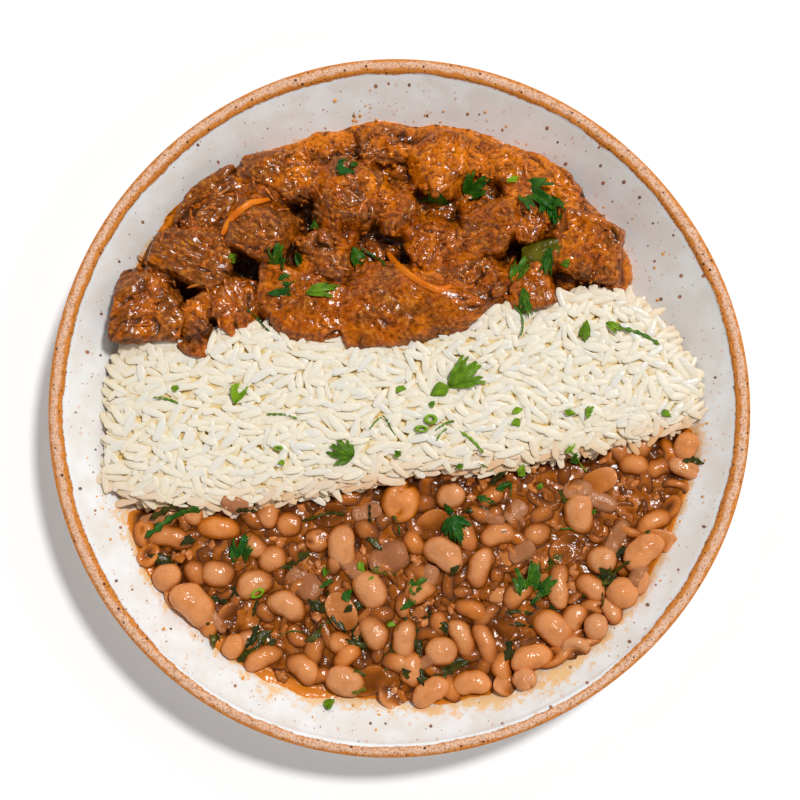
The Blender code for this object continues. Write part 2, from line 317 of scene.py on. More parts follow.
@dataclass(frozen=True)
class CookedRice(Finish):
    """Soft white grains, tan where sauce reaches them, with warm yellow painted shade where they lie deep.
    """

    name: str = "cooked_rice"
    white: Colour = (0.825, 0.745, 0.585)
    glassy: Colour = (0.72, 0.71, 0.67)
    # Painted shade: the warm yellow of the gaps between grains and of their undersides
    deep: Colour = (0.80, 0.54, 0.15)
    sauced: Colour = (0.72, 0.38, 0.16)

    def dress(self, graph: Graph) -> None:
        """Fills the material's node tree.

        Args:
            graph: The tree.
        """
        cloud = graph.noise(2.4 * MM, 3).step(0.38, 0.66)
        glassy = graph.value("tone").step(0.6, 1.0)
        colour = graph.blend(cloud * 0.3 + glassy * 0.5, self.white, self.glassy)
        # Painted shade where the grains lie deep and on their undersides
        colour = graph.blend(graph.value("depth"), colour, self.deep)
        colour = graph.blend(graph.value("stain"), colour, self.sauced)
        graph.set(
            Base_Color=colour,
            Roughness=0.36 - glassy * 0.12,
            Specular_IOR_Level=0.2,
            Normal=graph.bump(graph.noise(1.2 * MM, 2), 0.12 * MM),
        )


@dataclass(frozen=True)
class RiceBed(Finish):
    """The heap under the loose grains, seen only in the gaps between them, in a painted shade of tan."""

    name: str = "rice_bed"
    # Painted shade: the tans that the gaps between the grains show
    painted_gap_tan: Colour = (0.76, 0.58, 0.27)
    dark: Colour = (0.62, 0.39, 0.10)

    def dress(self, graph: Graph) -> None:
        """Fills the material's node tree."""
        graph.set(
            Base_Color=graph.blend(graph.noise(4 * MM, 3).step(0.35, 0.7), self.painted_gap_tan, self.dark),
            Roughness=0.5 + graph.noise(2 * MM) * 0.2,
            Normal=graph.bump(graph.noise(1.5 * MM, 3), 0.4 * MM),
        )


@dataclass(frozen=True)
class BeanSkin(Finish):
    """Glossy pinkish tan to orange skins with thin sauce blotches, and sauce and painted shade low down."""

    name: str = "bean_skin"
    pink: Colour = (0.61, 0.235, 0.078)
    orange: Colour = (0.74, 0.21, 0.015)
    # A darker tone for blotches and mottling, and low down for clinging sauce and painted shade
    shade: Colour = (0.34, 0.078, 0.001)
    # Painted shade, near black, where the skin meets the sauce
    waterline_shade: Colour = (0.08, 0.018, 0.0005)
    pale: Colour = (0.78, 0.40, 0.20)

    def dress(self, graph: Graph) -> None:
        """Fills the material's node tree.

        Args:
            graph: The tree.
        """
        blotch = graph.noise(5 * MM, 4).step(0.42, 0.7)
        high = graph.value("height")
        colour = graph.blend(graph.value("tone"), self.pink, self.orange)
        colour = graph.blend(high.step(0.6, 1.1) * 0.3, colour, self.pale)
        colour = graph.blend(blotch * 0.3, colour, self.shade)
        mottle = graph.noise(0.7 * MM, 4, rough=0.75).step(0.52, 0.75)
        colour = graph.blend(mottle * 0.22, colour, self.shade)
        # Darker low down: partly clinging sauce, partly painted shade
        colour = graph.blend((1 - high.step(0.35, 1.0)) * 0.85, colour, self.shade)
        # Painted shade, near black, at the waterline
        colour = graph.blend((1 - high.step(0.1, 0.65)) * 0.95, colour, self.waterline_shade)
        wrinkles = graph.noise(0.8 * MM, 1) * 0.16 + graph.noise(1.4 * MM, 1) * 0.45
        graph.set(
            Base_Color=colour,
            Roughness=0.18 + blotch * 0.04,
            Specular_IOR_Level=0.3,
            Normal=graph.bump(wrinkles + graph.noise(3 * MM, 2) * 1.3, 0.42 * MM),
        )


@dataclass(frozen=True)
class BeanSauce(Finish):
    """Brown-orange sauce, paler and more orange where it thins out on the glaze."""

    name: str = "bean_sauce"
    thick: Colour = (0.30, 0.074, 0.002)
    pasty: Colour = (0.47, 0.135, 0.018)
    # Painted shade in the sauce's hollows and in the gaps between the beans
    dark: Colour = (0.05, 0.01, 0.0005)
    thin: Colour = (0.70, 0.205, 0.014)

    def dress(self, graph: Graph) -> None:
        """Fills the material's node tree.

        Args:
            graph: The tree.
        """
        colour = graph.blend(graph.noise(5 * MM, 4).step(0.42, 0.68), self.thick, self.pasty)
        # Painted shade in the hollows between the sauce's lumps
        colour = graph.blend((1 - graph.value("relief").step(0.1, 0.5)) * 0.6, colour, self.dark)
        # Painted shade in the gaps between the beans
        colour = graph.blend(graph.value("depth") * 0.9, colour, self.dark)
        colour = graph.blend(graph.value("film"), colour, self.thin)
        graph.set(
            Base_Color=colour,
            Roughness=0.18 + graph.noise(2.5 * MM, 2) * 0.06,
            Specular_IOR_Level=0.3,
            Normal=graph.bump(graph.noise(1.9 * MM, 1), 0.26 * MM),
        )


@dataclass(frozen=True)
class Braise(Finish):
    """Beef and gravy: orange-brown where sauce clings, pinkish brown where the meat shows."""

    name: str = "braise"
    coat: Colour = (0.42, 0.081, 0.0005)
    bright: Colour = (0.84, 0.22, 0.0005)
    meat: Colour = (0.24, 0.062, 0.007)
    # Lighter fibres, and painted highlight on the crests
    pale: Colour = (0.68, 0.25, 0.035)
    # Dark specks, and painted shade in hollows and between the pieces
    dark: Colour = (0.032, 0.008, 0.0003)

    def dress(self, graph: Graph) -> None:
        """Fills the material's node tree.

        Args:
            graph: The tree.
        """
        relief = graph.value("relief")
        coated = graph.value("coat")
        colour = graph.blend(coated, self.meat, self.coat)
        colour = graph.blend(graph.noise(5 * MM, 4).step(0.38, 0.8) * coated * 0.55, colour, self.bright)
        colour = graph.blend(graph.value("film") * relief.step(0.1, 0.5), colour, self.bright)
        strands = graph.node("ShaderNodeAttribute", {"attribute_name": "strand"}).outputs["Vector"]
        streak = graph.noise(1.3 * MM, 3, strands, 0.6)
        crumbs = graph.noise(1.4 * MM, 3, rough=0.65)
        grit = streak * 0.4 + crumbs * 0.6
        # Paler on the crests: partly lighter fibres, partly painted highlight
        colour = graph.blend(grit.step(0.5, 0.62) * relief.step(0.4, 0.8) * 0.65, colour, self.pale)
        colour = graph.blend((1 - grit.step(0.38, 0.5)) * 0.6, colour, self.dark)
        # Painted shade in tears, grooves and between crumbs
        colour = graph.blend((1 - relief.step(0.25, 0.72)) * 0.85, colour, self.dark)
        # Painted shade in the gaps between the pieces
        colour = graph.blend(graph.value("depth"), colour, self.dark)
        graph.set(
            Base_Color=colour,
            Roughness=0.17 + graph.noise(3 * MM, 2).step(0.45, 0.65) * 0.04,
            Specular_IOR_Level=0.33,
            Normal=graph.bump(graph.noise(1.5 * MM, 2) + streak * 0.2, 0.18 * MM),
        )


@dataclass(frozen=True)
class WetSkin(Finish):
    """A plain wet vegetable or leaf whose colour varies between two shades."""

    first: Colour = (0.1, 0.3, 0.02)
    second: Colour = (0.3, 0.5, 0.05)
    blotch: float = 2.0 * MM
    roughness: float = 0.35
    veil: float = 0.0

    def dress(self, graph: Graph) -> None:
        """Fills the material's node tree."""
        share = graph.value("tone") * 0.8 + (graph.noise(self.blotch, 4, rough=0.6) - 0.5) * 0.9
        graph.set(
            Base_Color=graph.blend(share.step(0.0, 1.0), self.first, self.second),
            Roughness=self.roughness + graph.noise(1.5 * MM, 2) * 0.1,
            Specular_IOR_Level=0.22,
            Subsurface_Weight=self.veil,
            Subsurface_Radius=(1.0, 0.6, 0.4),
            Subsurface_Scale=1.0 * MM,
            Normal=graph.bump(graph.noise(1.2 * MM, 2), 0.3 * MM),
        )


@dataclass(frozen=True)
class PaleFloor(Finish):
    """A plain pale studio floor."""

    name: str = "pale_floor"
    pale: Colour = (0.95, 0.95, 0.95)

    def dress(self, graph: Graph) -> None:
        """Fills the material's node tree."""
        graph.set(Base_Color=self.pale, Roughness=0.9, Specular_IOR_Level=0.1)


# Two shades, size of the blotches between them, roughness and how much light sinks in
PARSLEY = WetSkin("parsley_leaf", (0.008, 0.080, 0.004), (0.25, 0.43, 0.012), 2.0 * MM, 0.3, 0.1)
WILTED = WetSkin("wilted_greens", (0.018, 0.022, 0.001), (0.19, 0.16, 0.005), 2.0 * MM, 0.2)
ONION = WetSkin("soft_onion", (0.34, 0.12, 0.042), (0.50, 0.21, 0.09), 3.0 * MM, 0.18)
CARROT = WetSkin("cooked_carrot", (0.66, 0.14, 0.002), (0.85, 0.25, 0.01), 3.0 * MM, 0.2, 0.15)
PEPPER = WetSkin("cooked_pepper", (0.05, 0.045, 0.002), (0.19, 0.16, 0.01), 3.0 * MM, 0.16, 0.1)
OIL_DROPS = WetSkin("orange_oil", (0.78, 0.30, 0.03), (0.88, 0.42, 0.10), 1.0 * MM, 0.15)


# ---------------------------------------------------------------- noise, grids and meshes


class Lumps:
    """Smooth noise in three directions from about -1 to 1, for lumps, dents and fibres."""

    def __init__(self, seed: int) -> None:
        """Draws the noise's fixed slopes.

        Args:
            seed: Fixes the pattern.
        """
        draw = np.random.default_rng(seed)
        self.order = draw.permutation(256)
        slopes = draw.normal(size=(256, 3))
        self.slopes = slopes / np.linalg.norm(slopes, axis=1)[:, None]

    def at(self, points: np.ndarray, size: float) -> np.ndarray:
        """Noise at some points.

        Args:
            points: Points in rows.
            size: Size of one lump in the points' own unit.

        Returns:
            One number for each point.
        """
        scaled = points / size
        cell = np.floor(scaled).astype(int)
        part = scaled - cell
        ease = part**3 * (part * (part * 6 - 15) + 10)
        total = np.zeros(len(points))
        for corner in np.ndindex(2, 2, 2):
            x, y, z = ((cell[:, k] + corner[k]) & 255 for k in range(3))
            slope = self.slopes[self.order[(self.order[(self.order[x] + y) & 255] + z) & 255]]
            rise = ((part - corner) * slope).sum(axis=1)
            total += rise * np.where(corner, ease, 1 - ease).prod(axis=1)
        return total * 1.7

    def rough(self, points: np.ndarray, size: float, layers: int = 3) -> np.ndarray:
        """Noise with finer and finer layers, from about -1 to 1."""
        return sum(self.at(points + 7.7 * k * size, size / 2**k) / 2**k for k in range(layers)) / 1.5

    def ridged(self, points: np.ndarray, size: float) -> np.ndarray:
        """Noise with sharp crests, from -1 to 1."""
        return 1 - 2 * np.abs(self.at(points, size)).clip(0, 1)

    def pebbles(self, points: np.ndarray, size: float) -> np.ndarray:
        """Round grains of uneven size lying close together.

        Args:
            points: Points in rows.
            size: Distance between the grains.

        Returns:
            1 on top of a grain, falling to 0 between grains.
        """
        scaled = points / size
        cell = np.floor(scaled).astype(int)
        nearest = np.full(len(points), 9.0)
        for step in np.ndindex(3, 3, 3):
            near = cell + np.array(step) - 1
            x, y, z = (near[:, k] & 255 for k in range(3))
            mark = self.order[(self.order[(self.order[x] + y) & 255] + z) & 255]
            spot = near + 0.5 + 0.38 * self.slopes[mark]
            nearest = np.minimum(nearest, ((scaled - spot) ** 2).sum(axis=1) * (0.8 + mark / 300))
        return np.clip(1 - nearest * 1.6, 0, 1) ** 0.7


def over(x: np.ndarray, y: np.ndarray, z: float = 0.0) -> np.ndarray:
    """Puts grid coordinates in rows of points at one height."""
    return np.stack([x.ravel(), y.ravel(), np.full(x.size, z)], axis=1)


def smooth(share: np.ndarray) -> np.ndarray:
    """Eases a share from 0 to 1."""
    held = np.clip(share, 0, 1)
    return held * held * (3 - 2 * held)


def rounded(share: np.ndarray) -> np.ndarray:
    """Rises from 0 to 1 like a heap's round shoulder."""
    held = np.clip(share, 0, 1)
    return np.sqrt(1 - (1 - held) ** 2)


@dataclass
class Field:
    """Heights on a square grid over the plate."""

    half: float = 114 * MM
    step: float = 0.4 * MM
    heights: np.ndarray = field(init=False)

    def __post_init__(self) -> None:
        """Lays the grid out flat."""
        count = round(2 * self.half / self.step) + 1
        self.axis = np.linspace(-self.half, self.half, count)
        self.heights = np.zeros((count, count))

    def grid(self) -> tuple[np.ndarray, np.ndarray]:
        """X and Y of every grid point."""
        return tuple(np.meshgrid(self.axis, self.axis, indexing="ij"))

    def sample(self, x: np.ndarray, y: np.ndarray) -> np.ndarray:
        """Heights at any points, between the grid's own.

        Args:
            x: Where along X.
            y: Where along Y.

        Returns:
            The heights.
        """
        last = len(self.axis) - 1.001
        u = np.clip((x + self.half) / self.step, 0, last)
        v = np.clip((y + self.half) / self.step, 0, last)
        i, j = u.astype(int), v.astype(int)
        s, t = u - i, v - j
        h = self.heights
        low = h[i, j] * (1 - s) + h[i + 1, j] * s
        return low * (1 - t) + (h[i, j + 1] * (1 - s) + h[i + 1, j + 1] * s) * t

    def cover(self, points: np.ndarray) -> None:
        """Raises the grid to points that lie higher."""
        i, j = (np.rint((points[:, k] + self.half) / self.step).astype(int) for k in (0, 1))
        np.maximum.at(self.heights, (i, j), points[:, 2])

    def closed(self) -> "Field":
        """Closes pinholes.

        Returns:
            A copy in which each place takes its neighbourhood's highest point.
        """
        made = Field(self.half, self.step)
        padded = np.pad(self.heights, 1, mode="edge")
        size = len(self.axis)
        shifted = [padded[i : i + size, j : j + size] for i, j in np.ndindex(3, 3)]
        made.heights = np.max(shifted, axis=0)
        return made

    def blurred(self, reach: float) -> "Field":
        """A smoothed copy.

        Args:
            reach: How far the smoothing spreads.

        Returns:
            The smoothed field.
        """
        count = int(3 * reach / self.step)
        bell = np.exp(-0.5 * (np.arange(-count, count + 1) * self.step / reach) ** 2)
        bell /= bell.sum()
        made = Field(self.half, self.step)
        made.heights = self.heights.copy()
        for _ in range(2):
            padded = np.pad(made.heights, ((count, count), (0, 0)), mode="edge")
            rows = np.apply_along_axis(np.convolve, 0, padded, bell, mode="valid")
            made.heights = rows.T
        return made


def sunk_below(brim: Field, points: np.ndarray, start: float, full: float) -> np.ndarray:
    """How deep points lie in the gaps below a smoothed top: 0 down to start, 1 where it is full deeper."""
    return smooth((brim.sample(points[:, 0], points[:, 1]) - points[:, 2] - start) / full)


def add_values(mesh: bpy.types.Mesh, **values: np.ndarray) -> None:
    """Stores numbers at a mesh's points for its finish.

    Args:
        mesh: The mesh.
        values: One number for each point, by name.
    """
    for name, numbers in values.items():
        layer = mesh.attributes.new(name, "FLOAT", "POINT")
        layer.data.foreach_set("value", np.ascontiguousarray(numbers, dtype=np.float32))


def add_vectors(mesh: bpy.types.Mesh, **rows: np.ndarray) -> None:
    """Stores vectors at a mesh's points.

    Args:
        mesh: The mesh.
        rows: One vector for each point, by name.
    """
    for name, vectors in rows.items():
        layer = mesh.attributes.new(name, "FLOAT_VECTOR", "POINT")
        layer.data.foreach_set("vector", np.ascontiguousarray(vectors, dtype=np.float32).ravel())


def make_piece(name: str, points: np.ndarray, faces: list, finish: bpy.types.Material) -> bpy.types.Object:
    """Makes a smooth-shaded object.

    Args:
        name: The piece's name.
        points: Its points in rows.
        faces: Its faces, each a row of point numbers.
        finish: Its material.

    Returns:
        The new object, at the origin.
    """
    mesh = bpy.data.meshes.new(name)
    mesh.from_pydata(points.tolist(), [], faces)
    mesh.shade_smooth()
    mesh.materials.append(finish)
    piece = bpy.data.objects.new(name, mesh)
    bpy.context.scene.collection.objects.link(piece)
    return piece


def points_of(mesh: bpy.types.Mesh, what: str = "co") -> np.ndarray:
    """A mesh's points, or its normals there.

    Args:
        mesh: The mesh.
        what: co for points, normal for normals.

    Returns:
        Them in rows.
    """
    flat = np.zeros(len(mesh.vertices) * 3)
    mesh.vertices.foreach_get(what, flat)
    return flat.reshape(-1, 3)


def put_points(mesh: bpy.types.Mesh, points: np.ndarray) -> None:
    """Moves a mesh's points."""
    mesh.vertices.foreach_set("co", points.ravel())
    mesh.update()


def grid_faces(number: np.ndarray) -> list:
    """The four-sided faces of a sheet of points, from their numbers in rows and columns."""
    corners = [number[:-1, :-1], number[1:, :-1], number[1:, 1:], number[:-1, 1:]]
    return np.stack(corners, 2).reshape(-1, 4).tolist()


def turned_faces(rings: int, around: int) -> list:
    """Faces of a turned surface: a point, rings of points, and a point.

    Args:
        rings: How many rings it has.
        around: How many points each has.

    Returns:
        The faces.
    """
    last = rings * around + 1
    faces = []
    for k in range(around):
        nxt = (k + 1) % around
        faces.append((0, 1 + k, 1 + nxt))
        faces.append((last, 1 + (rings - 1) * around + nxt, 1 + (rings - 1) * around + k))
        for i in range(rings - 1):
            low, high = 1 + i * around, 1 + (i + 1) * around
            faces.append((low + k, high + k, high + nxt, low + nxt))
    return faces


def slab(x: np.ndarray, y: np.ndarray, top: np.ndarray, bottom: np.ndarray, inside: np.ndarray) -> tuple:
    """A closed layer between two height maps over part of a grid.

    Args:
        x: X of the grid's points.
        y: Y of the grid's points.
        top: Heights of its upper face.
        bottom: Heights of its lower face.
        inside: Which of the grid's cells it fills.

    Returns:
        Its points, its faces and the numbers of the grid's points that the upper half uses.
    """
    used = np.zeros(x.shape, bool)
    for di, dj in np.ndindex(2, 2):
        used[di : di + inside.shape[0], dj : dj + inside.shape[1]] |= inside
    number = np.full(x.shape, -1)
    count = int(used.sum())
    number[used] = np.arange(count)
    points = np.concatenate([np.stack([x[used], y[used], z[used]], 1) for z in (top, bottom)])
    i, j = np.nonzero(inside)
    corners = [number[i, j], number[i + 1, j], number[i + 1, j + 1], number[i, j + 1]]
    upper = np.stack(corners, 1)
    faces = [upper, upper[:, ::-1] + count]
    ringed = np.pad(inside, 1)
    for a, (di, dj) in enumerate(((0, -1), (1, 0), (0, 1), (-1, 0))):
        b = (a + 1) % 4
        open_side = ~ringed[i + 1 + di, j + 1 + dj]
        first, second = corners[a][open_side], corners[b][open_side]
        faces.append(np.stack([second, first, first + count, second + count], 1))
    return points, np.concatenate(faces).tolist(), used


# ---------------------------------------------------------------- the plate and where the foods lie


@dataclass
class Plate:
    """The coupe plate: a flat floor that curves up to a round bare rim, on a foot ring."""

    radius: float = 112 * MM
    height: float = 28 * MM
    rim: float = 2.3 * MM
    floor: float = 7.5 * MM
    floor_radius: float = 66 * MM
    curve: float = 2.4
    foot: float = 2.5 * MM
    foot_width: float = 6 * MM
    around: int = 300

    @property
    def brim(self) -> tuple[float, float]:
        """Radius and height at which the upper face meets the rim."""
        return self.radius - 2 * self.rim, self.height - 0.5 * self.rim

    def inner(self, x: np.ndarray, y: np.ndarray) -> np.ndarray:
        """Height of the upper face.

        Args:
            x: Where along X.
            y: Where along Y.

        Returns:
            The heights.
        """
        radius, height = self.brim
        share = np.clip((np.hypot(x, y) - self.floor_radius) / (radius - self.floor_radius), 0, 1.1)
        return self.floor + (height - self.floor) * share**self.curve

    def profile(self) -> np.ndarray:
        """The outline that is turned.

        Returns:
            Radius and height in rows, from the middle of the top to the middle of the underside.
        """
        brim, height = self.brim
        radii = np.concatenate([np.linspace(6, 60, 10) * MM, np.linspace(62 * MM, brim, 52)])
        top = [(r, float(self.inner(r, 0.0))) for r in radii]
        middle, shoulder = self.radius - self.rim, self.height - self.rim
        lip = []
        for a in (math.pi * i / 14 for i in range(1, 15)):
            drop = self.height - (height if a < math.pi / 2 else shoulder)
            lip.append((middle - self.rim * math.cos(a), self.height - drop * (1 - math.sin(a))))
        foot_top = self.floor_radius + 2 * MM
        wide, tall = self.radius - foot_top, shoulder - self.foot
        shares = (1 - i / 14 for i in range(1, 15))
        wall = [(foot_top + wide * share, self.foot + tall * share**2.1) for share in shares]
        outer, inner = self.floor_radius, self.floor_radius - self.foot_width
        ring = [
            (outer, 0.8 * MM),
            (outer - 0.3 * MM, 0.2 * MM),
            (outer - 1.0 * MM, 0.0),
            (inner + 1.0 * MM, 0.0),
            (inner + 0.3 * MM, 0.2 * MM),
            (inner, 0.8 * MM),
            (inner - 1.2 * MM, self.foot),
            (inner - 8 * MM, self.foot),
            (6 * MM, self.foot),
        ]
        return np.array([(0, self.floor), *top, *lip, *wall, *ring, (0, self.foot)])

    def build(self, stain: "Servings") -> bpy.types.Object:
        """Turns the plate with a potter's small unevenness.

        Args:
            stain: Knows how near the sauces a point lies.

        Returns:
            The plate.
        """
        outline = self.profile()
        angles = np.arange(self.around) * math.tau / self.around
        share = (outline[1:-1, 0] / self.radius)[:, None] ** 2
        waves = ((2, -1.6, 0.29), (3, 0.61, 0.6), (4, 0.71, 0.17))
        wobble = sum(size * np.cos(count * angles + start) for count, start, size in waves)
        radii = outline[1:-1, 0][:, None] + share * wobble * MM
        lift = share * (0.25 * np.cos(2 * angles + 1.2) + 0.12 * np.cos(7 * angles)) * MM
        heights = outline[1:-1, 1][:, None] + lift * (outline[1:-1, 1] > self.foot * 1.5)[:, None]
        rings = np.stack([radii * np.cos(angles), radii * np.sin(angles), heights], axis=2).reshape(-1, 3)
        points = np.concatenate([[(0, 0, outline[0, 1])], rings, [(0, 0, outline[-1, 1])]])
        faces = turned_faces(len(outline) - 2, self.around)
        piece = make_piece("stoneware_plate", points, faces, SpeckledGlaze().material())
        upper = points[:, 2] > self.inner(points[:, 0], points[:, 1]) - MM
        near = stain.nearness(points[:, 0], points[:, 1]) * upper
        reach = np.concatenate([[0.0], np.repeat(outline[1:-1, 0], self.around), [0.0]])
        add_values(piece.data, stain=near, reach=reach)
        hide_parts("plate")
        return piece


@dataclass(frozen=True)
class Edge:
    """A line y(x) between two foods, in millimetres."""

    points: tuple

    def at(self, x: np.ndarray) -> np.ndarray:
        """Y of the line, rounded where its stretches meet.

        Args:
            x: Where along X, in metres.

        Returns:
            Y in metres.
        """
        along, across = np.array(self.points).T * MM
        shifts = np.array([-3, -1.5, 0, 1.5, 3]) * MM
        return sum(np.interp(x + shift, along, across) for shift in shifts) / len(shifts)


@dataclass(frozen=True)
class Region:
    """The part of the plate that one food covers."""

    near: Edge
    far: Edge
    left: float
    right: float
    corner: float = 3 * MM

    def inset(self, x: np.ndarray, y: np.ndarray) -> np.ndarray:
        """How far inside the outline points lie, rounded at the corners.

        Args:
            x: Where along X.
            y: Where along Y.

        Returns:
            The distances, below 0 outside.
        """
        sides = (y - self.near.at(x), self.far.at(x) - y, x - self.left, self.right - x)
        total = sum(np.exp(-np.clip(side, -0.05, 0.2) / self.corner) for side in sides)
        return -self.corner * np.log(total)


STEW_FAR = Edge(
    ((-90, 41), (-83, 51), (-77, 60), (-68, 69), (-56, 76.5), (-41, 84.5), (-22, 90), (-6, 93), (18, 91),
     (38, 85.5), (52, 77), (63, 67), (72, 56), (76, 49))
)
RICE_STEW = Edge(
    ((-95, 10), (-88, 20), (-70, 24), (-48, 29), (-30, 24), (-12, 27), (10, 30), (35, 37), (72, 38),
     (86, 27), (96, 12))
)
STEW_NEAR = Edge(((-90, 21), (-70, 22), (-48, 27), (-30, 22), (-12, 25), (10, 28), (35, 35), (76, 36)))
RICE_BEANS = Edge(
    ((-95, -26), (-84, -31), (-60, -33), (-40, -31), (-18, -27), (8, -22), (30, -20), (50, -17), (72, -13),
     (86, -9), (96, -5))
)
BEANS_FAR = Edge(
    ((-90, -31), (-84, -32), (-60, -30), (-40, -28), (-18, -24), (8, -19), (30, -17), (50, -14), (72, -10),
     (86, -6), (98, -4))
)
BEANS_NEAR = Edge(
    ((-88, -39), (-80, -56), (-68, -68), (-56, -79), (-44, -87), (-28, -94), (-8, -95), (14, -97), (34, -94),
     (54, -86), (70, -71), (82, -55), (90, -38), (97, -16))
)


@dataclass
class Servings:
    """Where the three foods lie on the plate and how high they reach."""

    plate: Plate
    stew: Region = Region(STEW_NEAR, STEW_FAR, -90 * MM, 76 * MM)
    rice: Region = Region(RICE_BEANS, RICE_STEW, -94 * MM, 97 * MM)
    beans: Region = Region(BEANS_NEAR, BEANS_FAR, -90 * MM, 97 * MM)
    sauce_level: float = 15.5 * MM
    gravy_level: float = 18.5 * MM
    rice_level: float = 24.5 * MM

    def nearness(self, x: np.ndarray, y: np.ndarray) -> np.ndarray:
        """How near the sauces points lie.

        Args:
            x: Where along X.
            y: Where along Y.

        Returns:
            1 at the edge of a sauce, falling to 0 some way off.
        """
        stew = np.exp(np.minimum(self.stew.inset(x, y), 0) / (3.0 * MM))
        beans = np.exp(np.minimum(self.beans.inset(x, y), 0) / (6.0 * MM))
        return np.maximum(stew * 0.8, beans)

    def fill(
        self, x: np.ndarray, y: np.ndarray, level: np.ndarray, inset: np.ndarray, width: float
    ) -> np.ndarray:
        """Top of a sauce that is level inside and dips into the glaze outside its outline.

        Args:
            x: Where along X.
            y: Where along Y.
            level: Height of the level part.
            inset: How far inside the outline each point lies.
            width: How wide the sloping border is.

        Returns:
            The heights.
        """
        ground = self.plate.inner(x, y)
        film = 0.45 * MM * smooth(inset / MM)
        inside = ground + film + np.maximum(level - ground, 0) * rounded(inset / width)
        return np.where(inset > 0, inside, ground + np.maximum(inset, -3 * MM) * 0.5)

    def pour(
        self, name: str, grid: tuple, top: np.ndarray, inset: np.ndarray, finish: bpy.types.Material
    ) -> tuple[bpy.types.Object, np.ndarray]:
        """Makes a sauce solid from its top down into the plate.

        Args:
            name: The piece's name.
            grid: X and Y of the grid's points.
            top: The heights of its top.
            inset: How far inside the outline each point lies.
            finish: Its material.

        Returns:
            The piece, and which of the grid's points its upper half uses.
        """
        cells = (inset[:-1, :-1] > -2 * MM) & (np.hypot(*grid)[:-1, :-1] < self.plate.brim[0] - 1.4 * MM)
        points, faces, used = slab(*grid, top, self.plate.inner(*grid) - 1.5 * MM, cells)
        return make_piece(name, points, faces, finish), used


# ---------------------------------------------------------------- scattered things


@dataclass
class Places:
    """Where the copies of a few shapes lie."""

    rows: list = field(default_factory=list)

    def add(self, point: tuple, turn: tuple, size: tuple, kind: int = 0, tone: float = 0.5) -> None:
        """Adds a copy: its middle, its turns about each axis, its sizes, its shape and its shade."""
        self.rows.append((*point, *turn, *size, kind, tone))

    def columns(self) -> tuple[np.ndarray, ...]:
        """Points, turns, sizes, kinds and tones."""
        table = np.array(self.rows)
        return table[:, :3], table[:, 3:6], table[:, 6:9], table[:, 9], table[:, 10]


